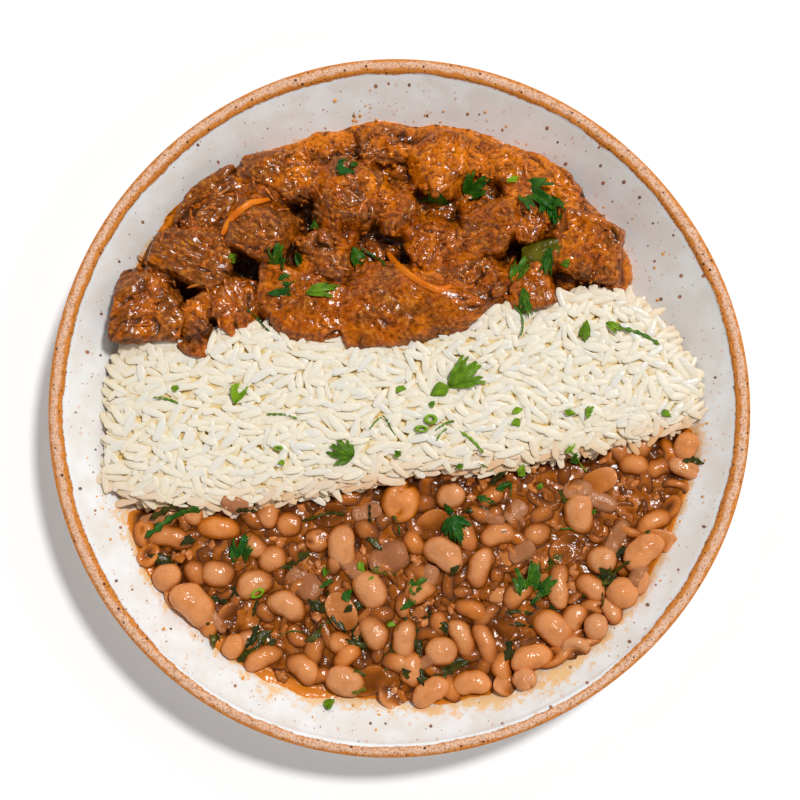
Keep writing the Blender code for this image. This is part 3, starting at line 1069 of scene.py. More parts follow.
@dataclass
class Scatter:
    """Copies of a few shapes, laid out and made one plain mesh by Geometry Nodes."""

    name: str
    shapes: list
    finish: bpy.types.Material
    variation: float = 0.06
    dent_depth: float = 0.0
    dent_size: float = 4 * MM
    seed: int = 3

    def _tree(self) -> bpy.types.NodeTree:
        """Builds the node tree: place the shapes, realize them, dent them and give them their finish.

        Returns:
            The tree, with a named input for each size, the seed, the finish and each shape.
        """
        tree = bpy.data.node_groups.new(self.name, "GeometryNodeTree")
        shapes = [f"Shape {number}" for number in range(len(self.shapes))]
        tree.interface.new_socket("Geometry", in_out="OUTPUT", socket_type="NodeSocketGeometry")
        inputs = {
            "Geometry": ["Geometry"],
            "Float": ["Size Variation", "Dent Depth", "Dent Size"],
            "Int": ["Seed"],
            "Material": ["Finish"],
            "Object": shapes,
        }
        for kind, labels in inputs.items():
            for label in labels:
                tree.interface.new_socket(label, in_out="INPUT", socket_type=f"NodeSocket{kind}")
        nodes = Nodes(tree)
        given = nodes.node("NodeGroupInput").outputs

        def stored(label: str, kind: str) -> bpy.types.NodeSocket:
            """A value stored at the points."""
            found = nodes.node("GeometryNodeInputNamedAttribute", {"data_type": kind}, {"Name": label})
            return next(s for s in found.outputs if s.enabled)

        def scaled(vector: bpy.types.NodeSocket, size: object) -> bpy.types.NodeSocket:
            """A vector times a number."""
            made = nodes.node("ShaderNodeVectorMath", {"operation": "SCALE"}, {0: vector, 3: size})
            return made.outputs[0]

        vary = Wire(nodes, given["Size Variation"])
        limits = {2: 1.0 - vary, 3: 1.0 + vary, 8: given["Seed"]}
        growth = nodes.node("FunctionNodeRandomValue", {"data_type": "FLOAT"}, limits)
        turned = nodes.node("FunctionNodeEulerToRotation", None, {0: stored("turn", "FLOAT_VECTOR")})
        layout = {
            "Points": given["Geometry"],
            "Rotation": turned.outputs[0],
            "Scale": scaled(stored("size", "FLOAT_VECTOR"), growth.outputs[1]),
        }
        joined = nodes.node("GeometryNodeJoinGeometry")
        for number, label in enumerate(shapes):
            same = {"data_type": "INT", "operation": "EQUAL"}
            chosen = nodes.node("FunctionNodeCompare", same, {2: stored("kind", "INT"), 3: number})
            shape = nodes.node("GeometryNodeObjectInfo", None, {0: given[label]})
            copies = {"Selection": chosen.outputs[0], "Instance": shape.outputs["Geometry"], **layout}
            laid = nodes.node("GeometryNodeInstanceOnPoints", None, copies)
            tree.links.new(laid.outputs[0], joined.inputs[0])
        real = nodes.node("GeometryNodeRealizeInstances", None, {0: joined.outputs[0]}).outputs[0]
        pattern = {"Scale": 1.0 / Wire(nodes, given["Dent Size"]), "Detail": 2.0}
        dents = Wire(nodes, nodes.node("ShaderNodeTexNoise", None, pattern).outputs[0])
        outward = nodes.node("GeometryNodeInputNormal").outputs[0]
        push = scaled(outward, (dents - 0.5) * given["Dent Depth"])
        dented = nodes.node("GeometryNodeSetPosition", None, {"Geometry": real, "Offset": push}).outputs[0]
        done = nodes.node("GeometryNodeSetMaterial", None, {"Geometry": dented, "Material": given["Finish"]})
        nodes.node("NodeGroupOutput", None, {0: done.outputs[0]})
        return tree

    def build(self, places: Places) -> bpy.types.Object:
        """Lays the copies out as one plain mesh.

        Args:
            places: Where each copy lies.

        Returns:
            The piece.
        """
        points, turns, sizes, kinds, tones = places.columns()
        mesh = bpy.data.meshes.new(self.name)
        mesh.from_pydata(points.tolist(), [], [])
        add_vectors(mesh, turn=turns, size=sizes)
        mesh.attributes.new("kind", "INT", "POINT").data.foreach_set("value", kinds.astype(np.int32))
        add_values(mesh, tone=tones, row=np.arange(len(points)))
        host = bpy.data.objects.new(self.name, mesh)
        bpy.context.scene.collection.objects.link(host)
        modifier = host.modifiers.new("layout", "NODES")
        modifier.node_group = self._tree()
        values = {
            "Size Variation": self.variation,
            "Dent Depth": self.dent_depth,
            "Dent Size": self.dent_size,
            "Seed": self.seed,
            "Finish": self.finish,
            **{f"Shape {number}": shape for number, shape in enumerate(self.shapes)},
        }
        for item in modifier.node_group.interface.items_tree:
            if item.in_out == "INPUT" and item.name in values:
                modifier[item.identifier] = values[item.name]
        graph = bpy.context.evaluated_depsgraph_get()
        real = bpy.data.meshes.new_from_object(host.evaluated_get(graph), depsgraph=graph)
        bpy.data.objects.remove(host)
        for shape in self.shapes:
            bpy.data.objects.remove(shape)
        real.name = self.name
        real.materials.clear()
        real.materials.append(self.finish)
        piece = bpy.data.objects.new(self.name, real)
        bpy.context.scene.collection.objects.link(piece)
        return piece


def rows_of(piece: bpy.types.Object) -> np.ndarray:
    """Tells the copies in a scattered piece apart.

    Args:
        piece: The piece.

    Returns:
        For each of its points, the number of the copy it belongs to.
    """
    numbers = np.zeros(len(piece.data.vertices), np.float32)
    piece.data.attributes["row"].data.foreach_get("value", numbers)
    return np.rint(numbers).astype(int)


def sausage(name: str, stations: list, around: int, square: float = 2.0) -> bpy.types.Object:
    """A closed shape along X.

    Args:
        name: Its name.
        stations: (x, y, z, half width, half thickness) rows from one tip to the other.
        around: How many points go round it.
        square: 2 for a round section and more for a flatter one.

    Returns:
        The shape.
    """
    turns = np.arange(around) * math.tau / around
    section = [[math.copysign(abs(c) ** (2 / square), c) for c in (math.cos(a), math.sin(a))] for a in turns]
    body = [(x, y + wide * c, z + thick * t) for x, y, z, wide, thick in stations[1:-1] for c, t in section]
    points = np.array([stations[0][:3], *body, stations[-1][:3]])
    faces = turned_faces(len(stations) - 2, around)
    piece = make_piece(name, points, faces, None)
    fix_normals(piece.data)
    return piece


def crumb(name: str, draw: np.random.Generator) -> bpy.types.Object:
    """A small uneven lump of length, width and thickness 1.

    Args:
        name: Its name.
        draw: Where its unevenness comes from.

    Returns:
        The shape.
    """
    stations = []
    for k in range(6):
        wide = 0.5 * math.sin(math.pi * k / 5) ** 0.6 * draw.uniform(0.7, 1.1) * (0 < k < 5)
        stations.append((k / 5 - 0.5, draw.uniform(-0.12, 0.12), draw.uniform(-0.06, 0.06), wide, wide))
    return sausage(name, stations, around=6)


def fix_normals(mesh: bpy.types.Mesh) -> None:
    """Turns every face of a closed mesh outwards.

    Args:
        mesh: The mesh.
    """
    work = bmesh.new()
    work.from_mesh(mesh)
    bmesh.ops.recalc_face_normals(work, faces=work.faces)
    work.to_mesh(mesh)
    work.free()


def draped(piece: bpy.types.Object, surface: Field, reach: float, height: float, lift: float) -> np.ndarray:
    """Lets flat bits sink onto what lies below them.

    Args:
        piece: The bits.
        surface: What lies below.
        reach: How far they bridge its hollows.
        height: How much of their own height they keep.
        lift: How far above the surface they lie.

    Returns:
        Their points in rows.
    """
    points = points_of(piece.data)
    under = surface.closed().blurred(reach)
    points[:, 2] = points[:, 2] * height + under.sample(points[:, 0], points[:, 1]) + lift
    put_points(piece.data, points)
    piece.data.shade_smooth()
    return points


def soften(mesh: bpy.types.Mesh, glow: float) -> None:
    """Leans a mesh's shading upwards, as light does that spreads inside pale moist grains.

    Args:
        mesh: The mesh.
        glow: How far, from 0.
    """
    normals = points_of(mesh, "normal")
    normals[:, 2] += glow * np.clip(normals[:, 2] + 0.6, 0, 1)
    normals /= np.linalg.norm(normals, axis=1)[:, None]
    mesh.normals_split_custom_set_from_vertices(normals.tolist())


# ---------------------------------------------------------------- the rice


@dataclass
class RiceHeap:
    """A bank of loose long grains over a core."""

    servings: Servings
    surface: Field
    pile: Field = field(default_factory=Field)
    cover: float = 1.8 * MM
    grains: int = 3250
    length: tuple[float, float] = (6.2 * MM, 9.8 * MM)
    width: tuple[float, float] = (2.2 * MM, 3.2 * MM)
    thickness: float = 1.25 * MM
    along: tuple[float, float] = (-34 * MM, 40 * MM)
    near_drop: float = 5.5 * MM
    near_slope: float = 16 * MM
    far_drop: float = 3.5 * MM
    far_slope: float = 18 * MM
    end_slope: float = 22 * MM
    margin: float = 1.5 * MM
    tries: int = 14
    glow: float = 2.0
    seed: int = 11
    # Bend, taper towards one end, how blunt each end is and how much of the length is left
    forms: tuple = (
        (0.0, 0.0, 2.6, 2.6, 1.0),
        (0.18, 0.12, 2.2, 3.4, 1.0),
        (-0.12, 0.3, 3.2, 2.0, 1.0),
        (0.06, -0.1, 2.6, 9.0, 0.74),
        (-0.2, 0.05, 5.0, 2.2, 0.9),
        (0.1, 0.2, 7.0, 6.0, 0.55),
    )
    shares: tuple = (0.26, 0.22, 0.18, 0.12, 0.12, 0.10)

    def crest(self, x: np.ndarray, y: np.ndarray) -> np.ndarray:
        """Height that the heap's loose grains reach.

        Args:
            x: Where along X.
            y: Where along Y.

        Returns:
            The heights.
        """
        serving = self.servings
        region = serving.rice
        near = rounded((y - region.near.at(x)) / self.near_slope)
        far = rounded((region.far.at(x) - y) / self.far_slope)
        level = serving.rice_level - self.near_drop * (1 - near) - self.far_drop * (1 - far)
        ground = serving.plate.inner(x, y) + 2.4 * MM
        ends = np.minimum(x - region.left, region.right - x)
        return ground + np.maximum(level - ground, 0) * rounded(ends / self.end_slope)

    def bed(self, x: np.ndarray, y: np.ndarray) -> np.ndarray:
        """Height of the heap under its loose grains.

        Args:
            x: X of a grid's points.
            y: Y of a grid's points.

        Returns:
            The heights.
        """
        ground = self.servings.plate.inner(x, y)
        inset = self.servings.rice.inset(x, y) - self.margin
        lumps = Lumps(seed=5).rough(over(x, y), 5 * MM, 3).reshape(x.shape)
        height = np.maximum(self.crest(x, y) - self.cover + 0.5 * MM * lumps - ground, 0)
        return np.where(inset > 0, ground + height * rounded(inset / (5 * MM)), ground - 0.6 * MM)

    def core(self) -> bpy.types.Object:
        """Makes the heap under the loose grains.

        Returns:
            The piece.
        """
        x, y = Field(step=1.2 * MM).grid()
        inset = self.servings.rice.inset(x, y) - self.margin
        ground = self.servings.plate.inner(x, y)
        cells = (inset[:-1, :-1] > -2 * MM) & (np.hypot(x, y)[:-1, :-1] < 104 * MM)
        points, faces, _ = slab(x, y, self.bed(x, y), ground - 1.2 * MM, cells)
        piece = make_piece("rice_core", points, faces, RiceBed().material())
        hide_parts("rice")
        return piece

    def grain_shapes(self) -> list:
        """Makes whole, bent, tapered and broken grains.

        Returns:
            The shapes, of length, width and thickness 1.
        """
        shapes = []
        for number, (bend, taper, first, second, left) in enumerate(self.forms):
            stations = []
            for k in range(7):
                x = -0.5 * math.cos(math.pi * k / 6)
                blunt = first if x < 0 else second
                full = max(1 - abs(2 * x) ** blunt, 0) ** 0.5 * (1 - taper * (x + 0.5))
                side = bend * (0.25 - x * x) * 2 + 0.03 * math.sin(5 * x + number)
                stations.append((x * left, side, 0.0, 0.5 * full, 0.5 * full))
            shapes.append(sausage(f"grain_{number}", stations, around=6, square=2.9))
        return shapes

    def lay(self) -> tuple[Places, np.ndarray]:
        """Drops the grains one by one so that each rests on what lies below.

        Returns:
            The grains' places and their share of sauce.
        """
        draw = np.random.default_rng(self.seed)
        heap = self.pile
        x, y = heap.grid()
        region = self.servings.rice
        heap.heights = np.maximum(self.servings.plate.inner(x, y), self.bed(x, y))
        stew = Field()
        stew.heights = self.surface.heights - heap.heights
        places = Places()
        sauce = []
        for _ in range(3 * self.grains):
            if len(places.rows) >= self.grains:
                break
            px = draw.uniform(region.left, region.right, self.tries)
            py = draw.uniform(*self.along, self.tries)
            ragged = draw.normal(0, 1.1 * MM, self.tries)
            need = self.crest(px, py) - heap.sample(px, py)
            free = (region.inset(px, py) > 0.6 * MM + ragged) & (stew.sample(px, py) < 1.2 * MM)
            need = np.where(free, need, -1.0)
            best = int(np.argmax(need))
            level_sided = draw.random() < 0.6
            yaw = draw.normal(0.15, 0.55) if level_sided else draw.uniform(0, math.pi)
            long, wide = draw.uniform(*self.length), draw.uniform(*self.width)
            kind, tone = int(draw.choice(len(self.forms), p=self.shares)), draw.random()
            roll = draw.normal(0, 0.22)
            if need[best] < -0.3 * MM:
                continue
            cx, cy = px[best], py[best]
            middle, pitch = self._rest(cx, cy, yaw, long * self.forms[kind][4], wide)
            lift = middle - 0.12 * self.thickness
            places.add((cx, cy, lift), (roll, -pitch, yaw), (long, wide, self.thickness), kind, tone)
            to_beans = cy - region.near.at(cx)
            to_stew = region.far.at(cx) - cy
            wet = 0.75 * math.exp(-max(to_beans, 0) / (3.2 * MM))
            wet += 0.3 * math.exp(-max(to_stew, 0) / (2.5 * MM))
            sauce.append(min(wet * draw.uniform(0.1, 1.4), 0.9))
            self._raise(cx, cy, lift, yaw, pitch, long * self.forms[kind][4], wide)
        return places, np.array(sauce)

    def _rest(self, x: float, y: float, yaw: float, long: float, wide: float) -> tuple[float, float]:
        """Height and pitch at which a grain comes to rest.

        Args:
            x: Its middle along X.
            y: Its middle along Y.
            yaw: Its direction.
            long: Its length.
            wide: Its width.

        Returns:
            The height of its underside at its middle, and its pitch in radians.
        """
        s = np.linspace(-0.4, 0.4, 9) * long
        side = np.array([-0.22, 0, 0.22])[:, None] * wide
        px = x + s * math.cos(yaw) - side * math.sin(yaw)
        py = y + s * math.sin(yaw) + side * math.cos(yaw)
        heights = self.pile.sample(px, py).mean(axis=0)
        best, pitch = heights[4], 0.0
        for i in range(4):
            for j in range(5, 9):
                slope = (heights[j] - heights[i]) / (s[j] - s[i])
                level = heights[i] - slope * s[i]
                if level > best:
                    best, pitch = level, math.atan(slope)
        return best, max(-0.3, min(0.3, pitch))

    def _raise(
        self, x: float, y: float, lift: float, yaw: float, pitch: float, long: float, wide: float
    ) -> None:
        """Raises the heap's surface where a grain now lies.

        Args:
            x: Its middle along X.
            y: Its middle along Y.
            lift: Its middle's height.
            yaw: Its direction.
            pitch: Its slope.
            long: Its length.
            wide: Its width.
        """
        heap = self.pile
        reach = int(long / 2 / heap.step) + 2
        i, j = (int(round((c + heap.half) / heap.step)) for c in (x, y))
        block = (slice(i - reach, i + reach + 1), slice(j - reach, j + reach + 1))
        dx, dy = np.meshgrid(heap.axis[block[0]] - x, heap.axis[block[1]] - y, indexing="ij")
        u = (dx * math.cos(yaw) + dy * math.sin(yaw)) / (long / 2)
        v = (dy * math.cos(yaw) - dx * math.sin(yaw)) / (wide / 2)
        swell = 1 - np.abs(u) ** 3 - np.abs(v) ** 3
        top = lift + u * (long / 2) * math.tan(pitch) + 0.5 * self.thickness * np.sqrt(np.maximum(swell, 0))
        patch = heap.heights[block]
        heap.heights[block] = np.where(swell > 0, np.maximum(patch, top), patch)

    def build(self) -> list[bpy.types.Object]:
        """Makes the heap.

        Returns:
            The core and the loose grains.
        """
        core = self.core()
        places, sauce = self.lay()
        finish = CookedRice().material()
        uneven = {"variation": 0.06, "dent_depth": 0.7 * MM, "dent_size": 2.6 * MM}
        grains = Scatter("rice_grains", self.grain_shapes(), finish, seed=self.seed, **uneven).build(places)
        rows = rows_of(grains)
        points = points_of(grains.data)
        crown = self.pile.closed().blurred(2.0 * MM)
        self.surface.heights = np.maximum(self.surface.heights, self.pile.heights)
        # Painted shade: yellow in the gaps, more inside the heap, and a little on each grain's underside
        sunk = crown.sample(points[:, 0], points[:, 1]) - points[:, 2]
        middle = np.array(places.rows)[rows, 2]
        under = smooth((middle + 0.3 * self.thickness - points[:, 2]) / (0.6 * self.thickness))
        inner = smooth(self.servings.rice.inset(points[:, 0], points[:, 1]) / (5 * MM))
        gap_shade = smooth((sunk - 0.35 * MM) / (1.3 * MM)) * (0.3 + 0.6 * inner)
        depth = np.maximum(gap_shade, 0.2 * under)
        add_values(grains.data, depth=depth, stain=sauce[rows])
        soften(grains.data, self.glow)
        LOG.info("rice: %d grains, highest %.1f mm", len(places.rows), points[:, 2].max() / MM)
        return [core, grains]


# ---------------------------------------------------------------- the beans


class Bean(Enum):
    """The bean shapes."""

    KIDNEY = 0
    OVAL = 1
    SPLIT = 2
    SKIN = 3
    HALF = 4


# For each shape, or for whole beans: middle x and y, length and width in millimetres, turn in
# degrees, tone from pink to orange
BEAN_PLACES = {
    None: (
        (1, -31, 14.5, 13, 70, 0.9), (-35, -38, 10, 9.5, 0, 0.35), (-26, -43, 9.3, 9, 0, 0.3),
        (-17, -45, 14.5, 10, 96, 0.2), (-73.5, -43, 17, 8.5, -12, 0.4), (-57.5, -40, 15.5, 8.5, -8, 1.0),
        (-66, -64.5, 18, 12, -43, 0.55), (-40.5, -49, 10.5, 9.5, 30, 0.3), (-45.5, -58, 15, 11, 20, 0.15),
        (-36, -65, 14, 10, -30, 0.15), (-42.5, -81, 14, 8, 25, 0.5), (-31, -84.5, 13, 9, -38, 0.5),
        (-26, -78.5, 12, 8.5, 70, 0.3), (-18.5, -76, 9.5, 9, 0, 0.35), (-17, -88, 13, 10, -15, 0.2),
        (-52.5, -77, 9, 7.5, 60, 0.7), (-57.5, -54, 12.5, 10, -10, 0.2), (-74, -55, 10, 9, 20, 0.5),
        (-65, -54, 10.5, 8.5, -70, 0.3), (17, -29, 10.5, 9, 20, 0.25), (23, -41, 14, 8.5, 100, 0.3),
        (32.5, -42, 13, 9.5, 10, 0.3), (14, -48.5, 15, 10.5, -32, 0.15), (27, -52.5, 15, 8.5, 76, 0.25),
        (23, -66, 13.5, 8.5, -18, 0.7), (20, -75, 14, 8, -65, 0.2), (27.5, -76.5, 14.5, 8, -68, 0.3),
        (14, -78.5, 11, 10, 0, 0.25), (3, -75, 14.5, 8.5, 84, 0.1), (-9, -72.5, 15, 10.5, -58, 0.1),
        (-9, -59, 13.5, 10.5, -60, 0.2), (11, -92, 14, 8.5, 32, 0.6), (23.5, -89.5, 13.5, 8.5, 4, 0.7),
        (34, -83, 11.5, 7.5, 85, 0.6), (59.5, -34.5, 14, 10.5, 95, 0.35), (76, -19.5, 12, 8.5, -8, 0.55),
        (84.5, -20.5, 10.5, 8, 20, 0.5), (88, -16, 15, 7.5, -58, 0.9), (82.5, -38, 13, 7.5, 28, 0.6),
        (79.5, -47.5, 15.5, 9.8, 42, 0.6), (72, -60, 10.5, 10, 0, 0.6), (49, -72.5, 16.5, 11.5, -42, 0.5),
        (43, -81.5, 14.5, 9, 15, 0.65), (57, -69, 12, 9, 60, 0.35), (52.5, -57, 17, 8, 86, 0.3),
        (61.5, -59, 13, 9, -35, 0.35), (65.5, -49.5, 11, 10, 0, 0.2), (45, -41, 11, 8.5, 30, 0.25),
        (39, -61, 12.5, 9, 40, 0.3), (-1, -83, 12, 8, -10, 0.35), (8, -60, 11, 8, 35, 0.35),
        (30, -30, 10.5, 8, 25, 0.5), (93, -13, 9.5, 8, 70, 0.8),
    ),
    Bean.SKIN: (
        (2, -57, 11, 9, 75, 0.3), (33, -63, 13, 8, 65, 0.4), (-4, -49, 12, 9, -20, 0.3),
        (75, -38, 12, 9, -25, 0.5), (-80, -48, 9, 7, 50, 0.8), (72, -34, 13, 8, 0, 0.4),
        (36, -50, 11, 8, 10, 0.35), (-66, -49, 9, 6, 80, 0.9), (47, -29, 13, 9, -30, 0.3),
    ),
    Bean.HALF: (
        (-9, -88, 12, 9, 30, 0.6), (-18, -66, 13, 9, -60, 0.1), (-22, -35, 12, 8, 10, 0.5),
        (65, -24, 12, 8, 20, 0.4), (54, -46, 11, 9, 40, 0.2), (-52, -67, 12, 9, 20, 0.2),
        (11, -38, 12, 9, 30, 0.3), (33, -71, 10, 9, 60, 0.2),
    ),
}


@dataclass
class Beans:
    """Beans, halves and loose skins that stand half out of their pool of sauce."""

    servings: Servings
    surface: Field
    spare: int = 175
    across: tuple[float, float] = (-88, 96)
    along: tuple[float, float] = (-96, -8)
    tries: int = 12000
    border_tries: int = 1500
    split_share: float = 0.08
    shares: tuple = (0.38, 0.12, 0.16, 0.16, 0.18)
    crumbs: int = 190
    seed: int = 29

    @staticmethod
    def shapes() -> list:
        """Makes whole, oval, split, hollow and halved beans.

        Returns:
            The shapes, of length, width and thickness 1, in the order of their numbers.
        """
        made = []
        for bean in Bean:
            stations = []
            for k in range(15):
                x = -0.5 * math.cos(math.pi * k / 14)
                full = max(1 - abs(2 * x) ** 2.4, 0) ** 0.5
                bend, dent = 0.0, 0.0
                if bean is Bean.KIDNEY:
                    bend = 0.13 * (0.25 - x * x) * 4
                    dent = 0.05 * math.exp(-((x / 0.13) ** 2)) * (full > 0)
                stations.append((x, bend, 0.0, 0.5 * full - dent, 0.5 * full))
            shape = sausage(f"bean_{bean.name.lower()}", stations, around=18)
            points = points_of(shape.data)
            above = points[:, 2] > 0.08
            if bean is Bean.SPLIT:
                groove = np.exp(-((points[:, 1] - 0.08 * np.sin(points[:, 0] * 9)) / 0.05) ** 2)
                points[:, 2] -= 0.22 * groove * above
            if bean is Bean.SKIN:
                hollow = np.exp(-(((points[:, 1] - 0.1) / 0.26) ** 2) - (points[:, 0] / 0.36) ** 2)
                points[:, 2] -= 0.6 * hollow * (points[:, 2] > 0)
            if bean is Bean.HALF:
                flat = 0.1 - 0.06 * np.exp(-((points[:, 1] / 0.3) ** 2))
                points[:, 2] = np.minimum(points[:, 2], flat)
            put_points(shape.data, points)
            made.append(shape)
        return made

    def lay(self) -> Places:
        """Lays the beans: the ones with a place of their own, then smaller spares in the gaps.

        Returns:
            Their places.
        """
        draw = np.random.default_rng(self.seed)
        places = Places()
        taken = self._lay_own(draw, places)
        self._lay_spares(draw, places, taken)
        return places

    def _lay_own(self, draw: np.random.Generator, places: Places) -> list:
        """Lays the beans that have a place of their own.

        Args:
            draw: Where their small differences come from.
            places: Takes their places.

        Returns:
            (x, y, radius) of each, in millimetres.
        """
        pool = self.servings.sauce_level / MM
        taken = []
        for kind, spots in BEAN_PLACES.items():
            for x, y, long, wide, turn, tone in spots:
                shape = kind or (Bean.KIDNEY if long / wide > 1.3 else Bean.OVAL)
                if kind is None and draw.random() < self.split_share:
                    shape = Bean.SPLIT
                tall = min(wide * 0.9, 9.5)
                lift = pool + draw.uniform(-0.6, 1.0) + 0.1 * (tall - 8)
                if kind is Bean.HALF:
                    lift += 1.6
                lift = max(lift, self.servings.plate.inner(x * MM, y * MM) / MM + tall * 0.42)
                angles = (draw.normal(0, 0.2), draw.normal(0, 0.12), math.radians(turn))
                size = (long * MM, wide * MM, tall * MM)
                places.add((x * MM, y * MM, lift * MM), angles, size, shape.value, tone)
                taken.append((x, y, (long + wide) / 4))
        return taken

    def _lay_spares(self, draw: np.random.Generator, places: Places, taken: list) -> None:
        """Lays smaller beans in the gaps, the first of them near the border.

        Args:
            draw: Where their places and sizes come from.
            places: Takes their places.
            taken: (x, y, radius) of the beans laid so far, in millimetres.
        """
        pool = self.servings.sauce_level / MM
        wanted = len(places.rows) + self.spare
        for attempt in range(self.tries):
            x, y = draw.uniform(*self.across), draw.uniform(*self.along)
            long, wide = draw.uniform(7.5, 13), draw.uniform(5.5, 9)
            turn, tone = draw.uniform(0, math.pi), draw.beta(1.3, 2.6)
            if len(places.rows) >= wanted:
                break
            inset = self.servings.beans.inset(x * MM, y * MM)
            too_far_in = attempt < self.border_tries and inset > 8 * MM
            if inset < (3.2 + 2.5 * tone) * MM or too_far_in:
                continue
            if any(math.hypot(x - a, y - b) < (r + wide / 2) * 0.64 for a, b, r in taken):
                continue
            lift = pool - draw.uniform(-0.3, 1.5)
            lift = max(lift, self.servings.plate.inner(x * MM, y * MM) / MM + wide * 0.35)
            tilt = (draw.normal(0, 0.3), draw.normal(0, 0.2), turn)
            size = (long * MM, wide * MM, wide * 0.85 * MM)
            kind = int(draw.choice(len(Bean), p=self.shares))
            places.add((x * MM, y * MM, lift * MM), tilt, size, kind, tone)
            taken.append((x, y, (long + wide) / 4))

    def sauce(self, tops: Field) -> bpy.types.Object:
        """The pool of sauce, drawn up a little round every bean.

        Args:
            tops: How high the beans reach.

        Returns:
            The sauce.
        """
        x, y = Field(step=0.55 * MM).grid()
        lumps = Lumps(seed=41)
        flat = over(x, y)
        ragged = (lumps.rough(flat, 9 * MM, 4) * 1.3 * MM).reshape(x.shape)
        inset = self.servings.beans.inset(x, y) + ragged * 0.8 - 1.0 * MM
        drawn = tops.blurred(1.2 * MM).sample(x, y)
        level = self.servings.sauce_level + 0.6 * MM * lumps.at(flat, 14 * MM).reshape(x.shape)
        grains = lumps.rough(flat, 2.6 * MM, 4).reshape(x.shape)
        bits = lumps.pebbles(flat, 2.6 * MM).reshape(x.shape)
        level = level + 0.45 * MM * grains + 0.4 * MM * bits - 0.5 * MM
        level = level + np.clip(drawn - level + 1.0 * MM, 0, 2.4 * MM) * 0.5
        top = self.servings.fill(x, y, level, inset, 5 * MM)
        piece, used = self.servings.pour("bean_sauce", (x, y), top, inset, BeanSauce().material())
        film = 1 - smooth((top - self.servings.plate.inner(x, y) - 0.2 * MM) / (1.8 * MM))[used]
        # Low between the sauce's lumps, where its finish paints shade
        relief = (grains * 0.4 + 0.35 + bits * 0.3)[used]
        add_values(piece.data, relief=np.tile(relief, 2), film=np.tile(film, 2))
        return piece

    def mash(self, finish: bpy.types.Material) -> bpy.types.Object:
        """Crumbs of broken bean that lie in the sauce between the beans.

        Args:
            finish: Their material.

        Returns:
            The piece.
        """
        draw = np.random.default_rng(self.seed)
        shapes = [crumb(f"bean_crumb_{number}", draw) for number in range(4)]
        top = self.surface.closed()
        places = Places()
        while len(places.rows) < self.crumbs:
            x, y = draw.uniform(*self.across) * MM, draw.uniform(*self.along) * MM
            if self.servings.beans.inset(x, y) < 2.5 * MM:
                continue
            height = top.sample(x, y)
            if height > self.servings.sauce_level + 1.4 * MM:
                continue
            long = (draw.gamma(3, 0.9) + 2.0) * MM
            size = (long, long * draw.uniform(0.4, 0.8), min(long * 0.5, 1.8 * MM))
            turn = (draw.normal(0, 0.35), draw.normal(0, 0.3), draw.uniform(0, math.pi))
            kind = int(draw.integers(len(shapes)))
            places.add((x, y, height - 0.1 * size[2]), turn, size, kind, draw.beta(1.2, 2.5))
        uneven = {"variation": 0.15, "dent_depth": 0.5 * MM, "dent_size": 1.5 * MM}
        piece = Scatter("bean_mash", shapes, finish, seed=self.seed, **uneven).build(places)
        # A random height for each crumb, so that some take the skins' low colours of sauce and painted shade
        fresh = draw.uniform(0.3, 0.9, self.crumbs)[rows_of(piece)]
        add_values(piece.data, height=fresh)
        self.surface.cover(points_of(piece.data))
        return piece

    def build(self) -> list[bpy.types.Object]:
        """Makes the serving.

        Returns:
            The beans, their sauce and their crumbs.
        """
        places = self.lay()
        finish = BeanSkin().material()
        uneven = {"variation": 0.03, "dent_depth": 1.3 * MM, "dent_size": 4.5 * MM}
        beans = Scatter("cooked_beans", self.shapes(), finish, seed=self.seed, **uneven).build(places)
        points = points_of(beans.data)
        tops = Field()
        tops.cover(points)
        sauce = self.sauce(tops.closed())
        pool = Field(step=0.6 * MM)
        pool.cover(points_of(sauce.data))
        waterline = pool.closed().blurred(0.8 * MM).sample(points[:, 0], points[:, 1])
        # Height above the sauce, by which the skins darken low down with sauce and painted shade
        add_values(beans.data, height=(points[:, 2] - waterline + 0.6 * MM) / (3.2 * MM))
        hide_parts("beans")
        self.surface.cover(points)
        self.surface.cover(points_of(sauce.data))
        brim = self.surface.closed().blurred(2.4 * MM)
        # Painted shade where the sauce lies in the gaps between the beans
        add_values(sauce.data, depth=sunk_below(brim, points_of(sauce.data), 0.2 * MM, 1.6 * MM))
        LOG.info("beans: %d", len(places.rows))
        return [beans, sauce, self.mash(finish)]


# ---------------------------------------------------------------- the stew


def disc(count: int) -> tuple[np.ndarray, np.ndarray]:
    """Presses a square grid evenly into a disc of radius 1.

    Args:
        count: How many cells the grid has each way.

    Returns:
        X and Y of its points.
    """
    u, v = np.meshgrid(np.linspace(-1, 1, count + 1), np.linspace(-1, 1, count + 1), indexing="ij")
    wide = np.abs(u) > np.abs(v)
    far = np.where(wide, u, v)
    safe = np.where(far == 0, 1, far)
    angle = np.where(wide, math.pi / 4 * v / safe, math.pi / 2 - math.pi / 4 * u / safe)
    return far * np.cos(angle), far * np.sin(angle)


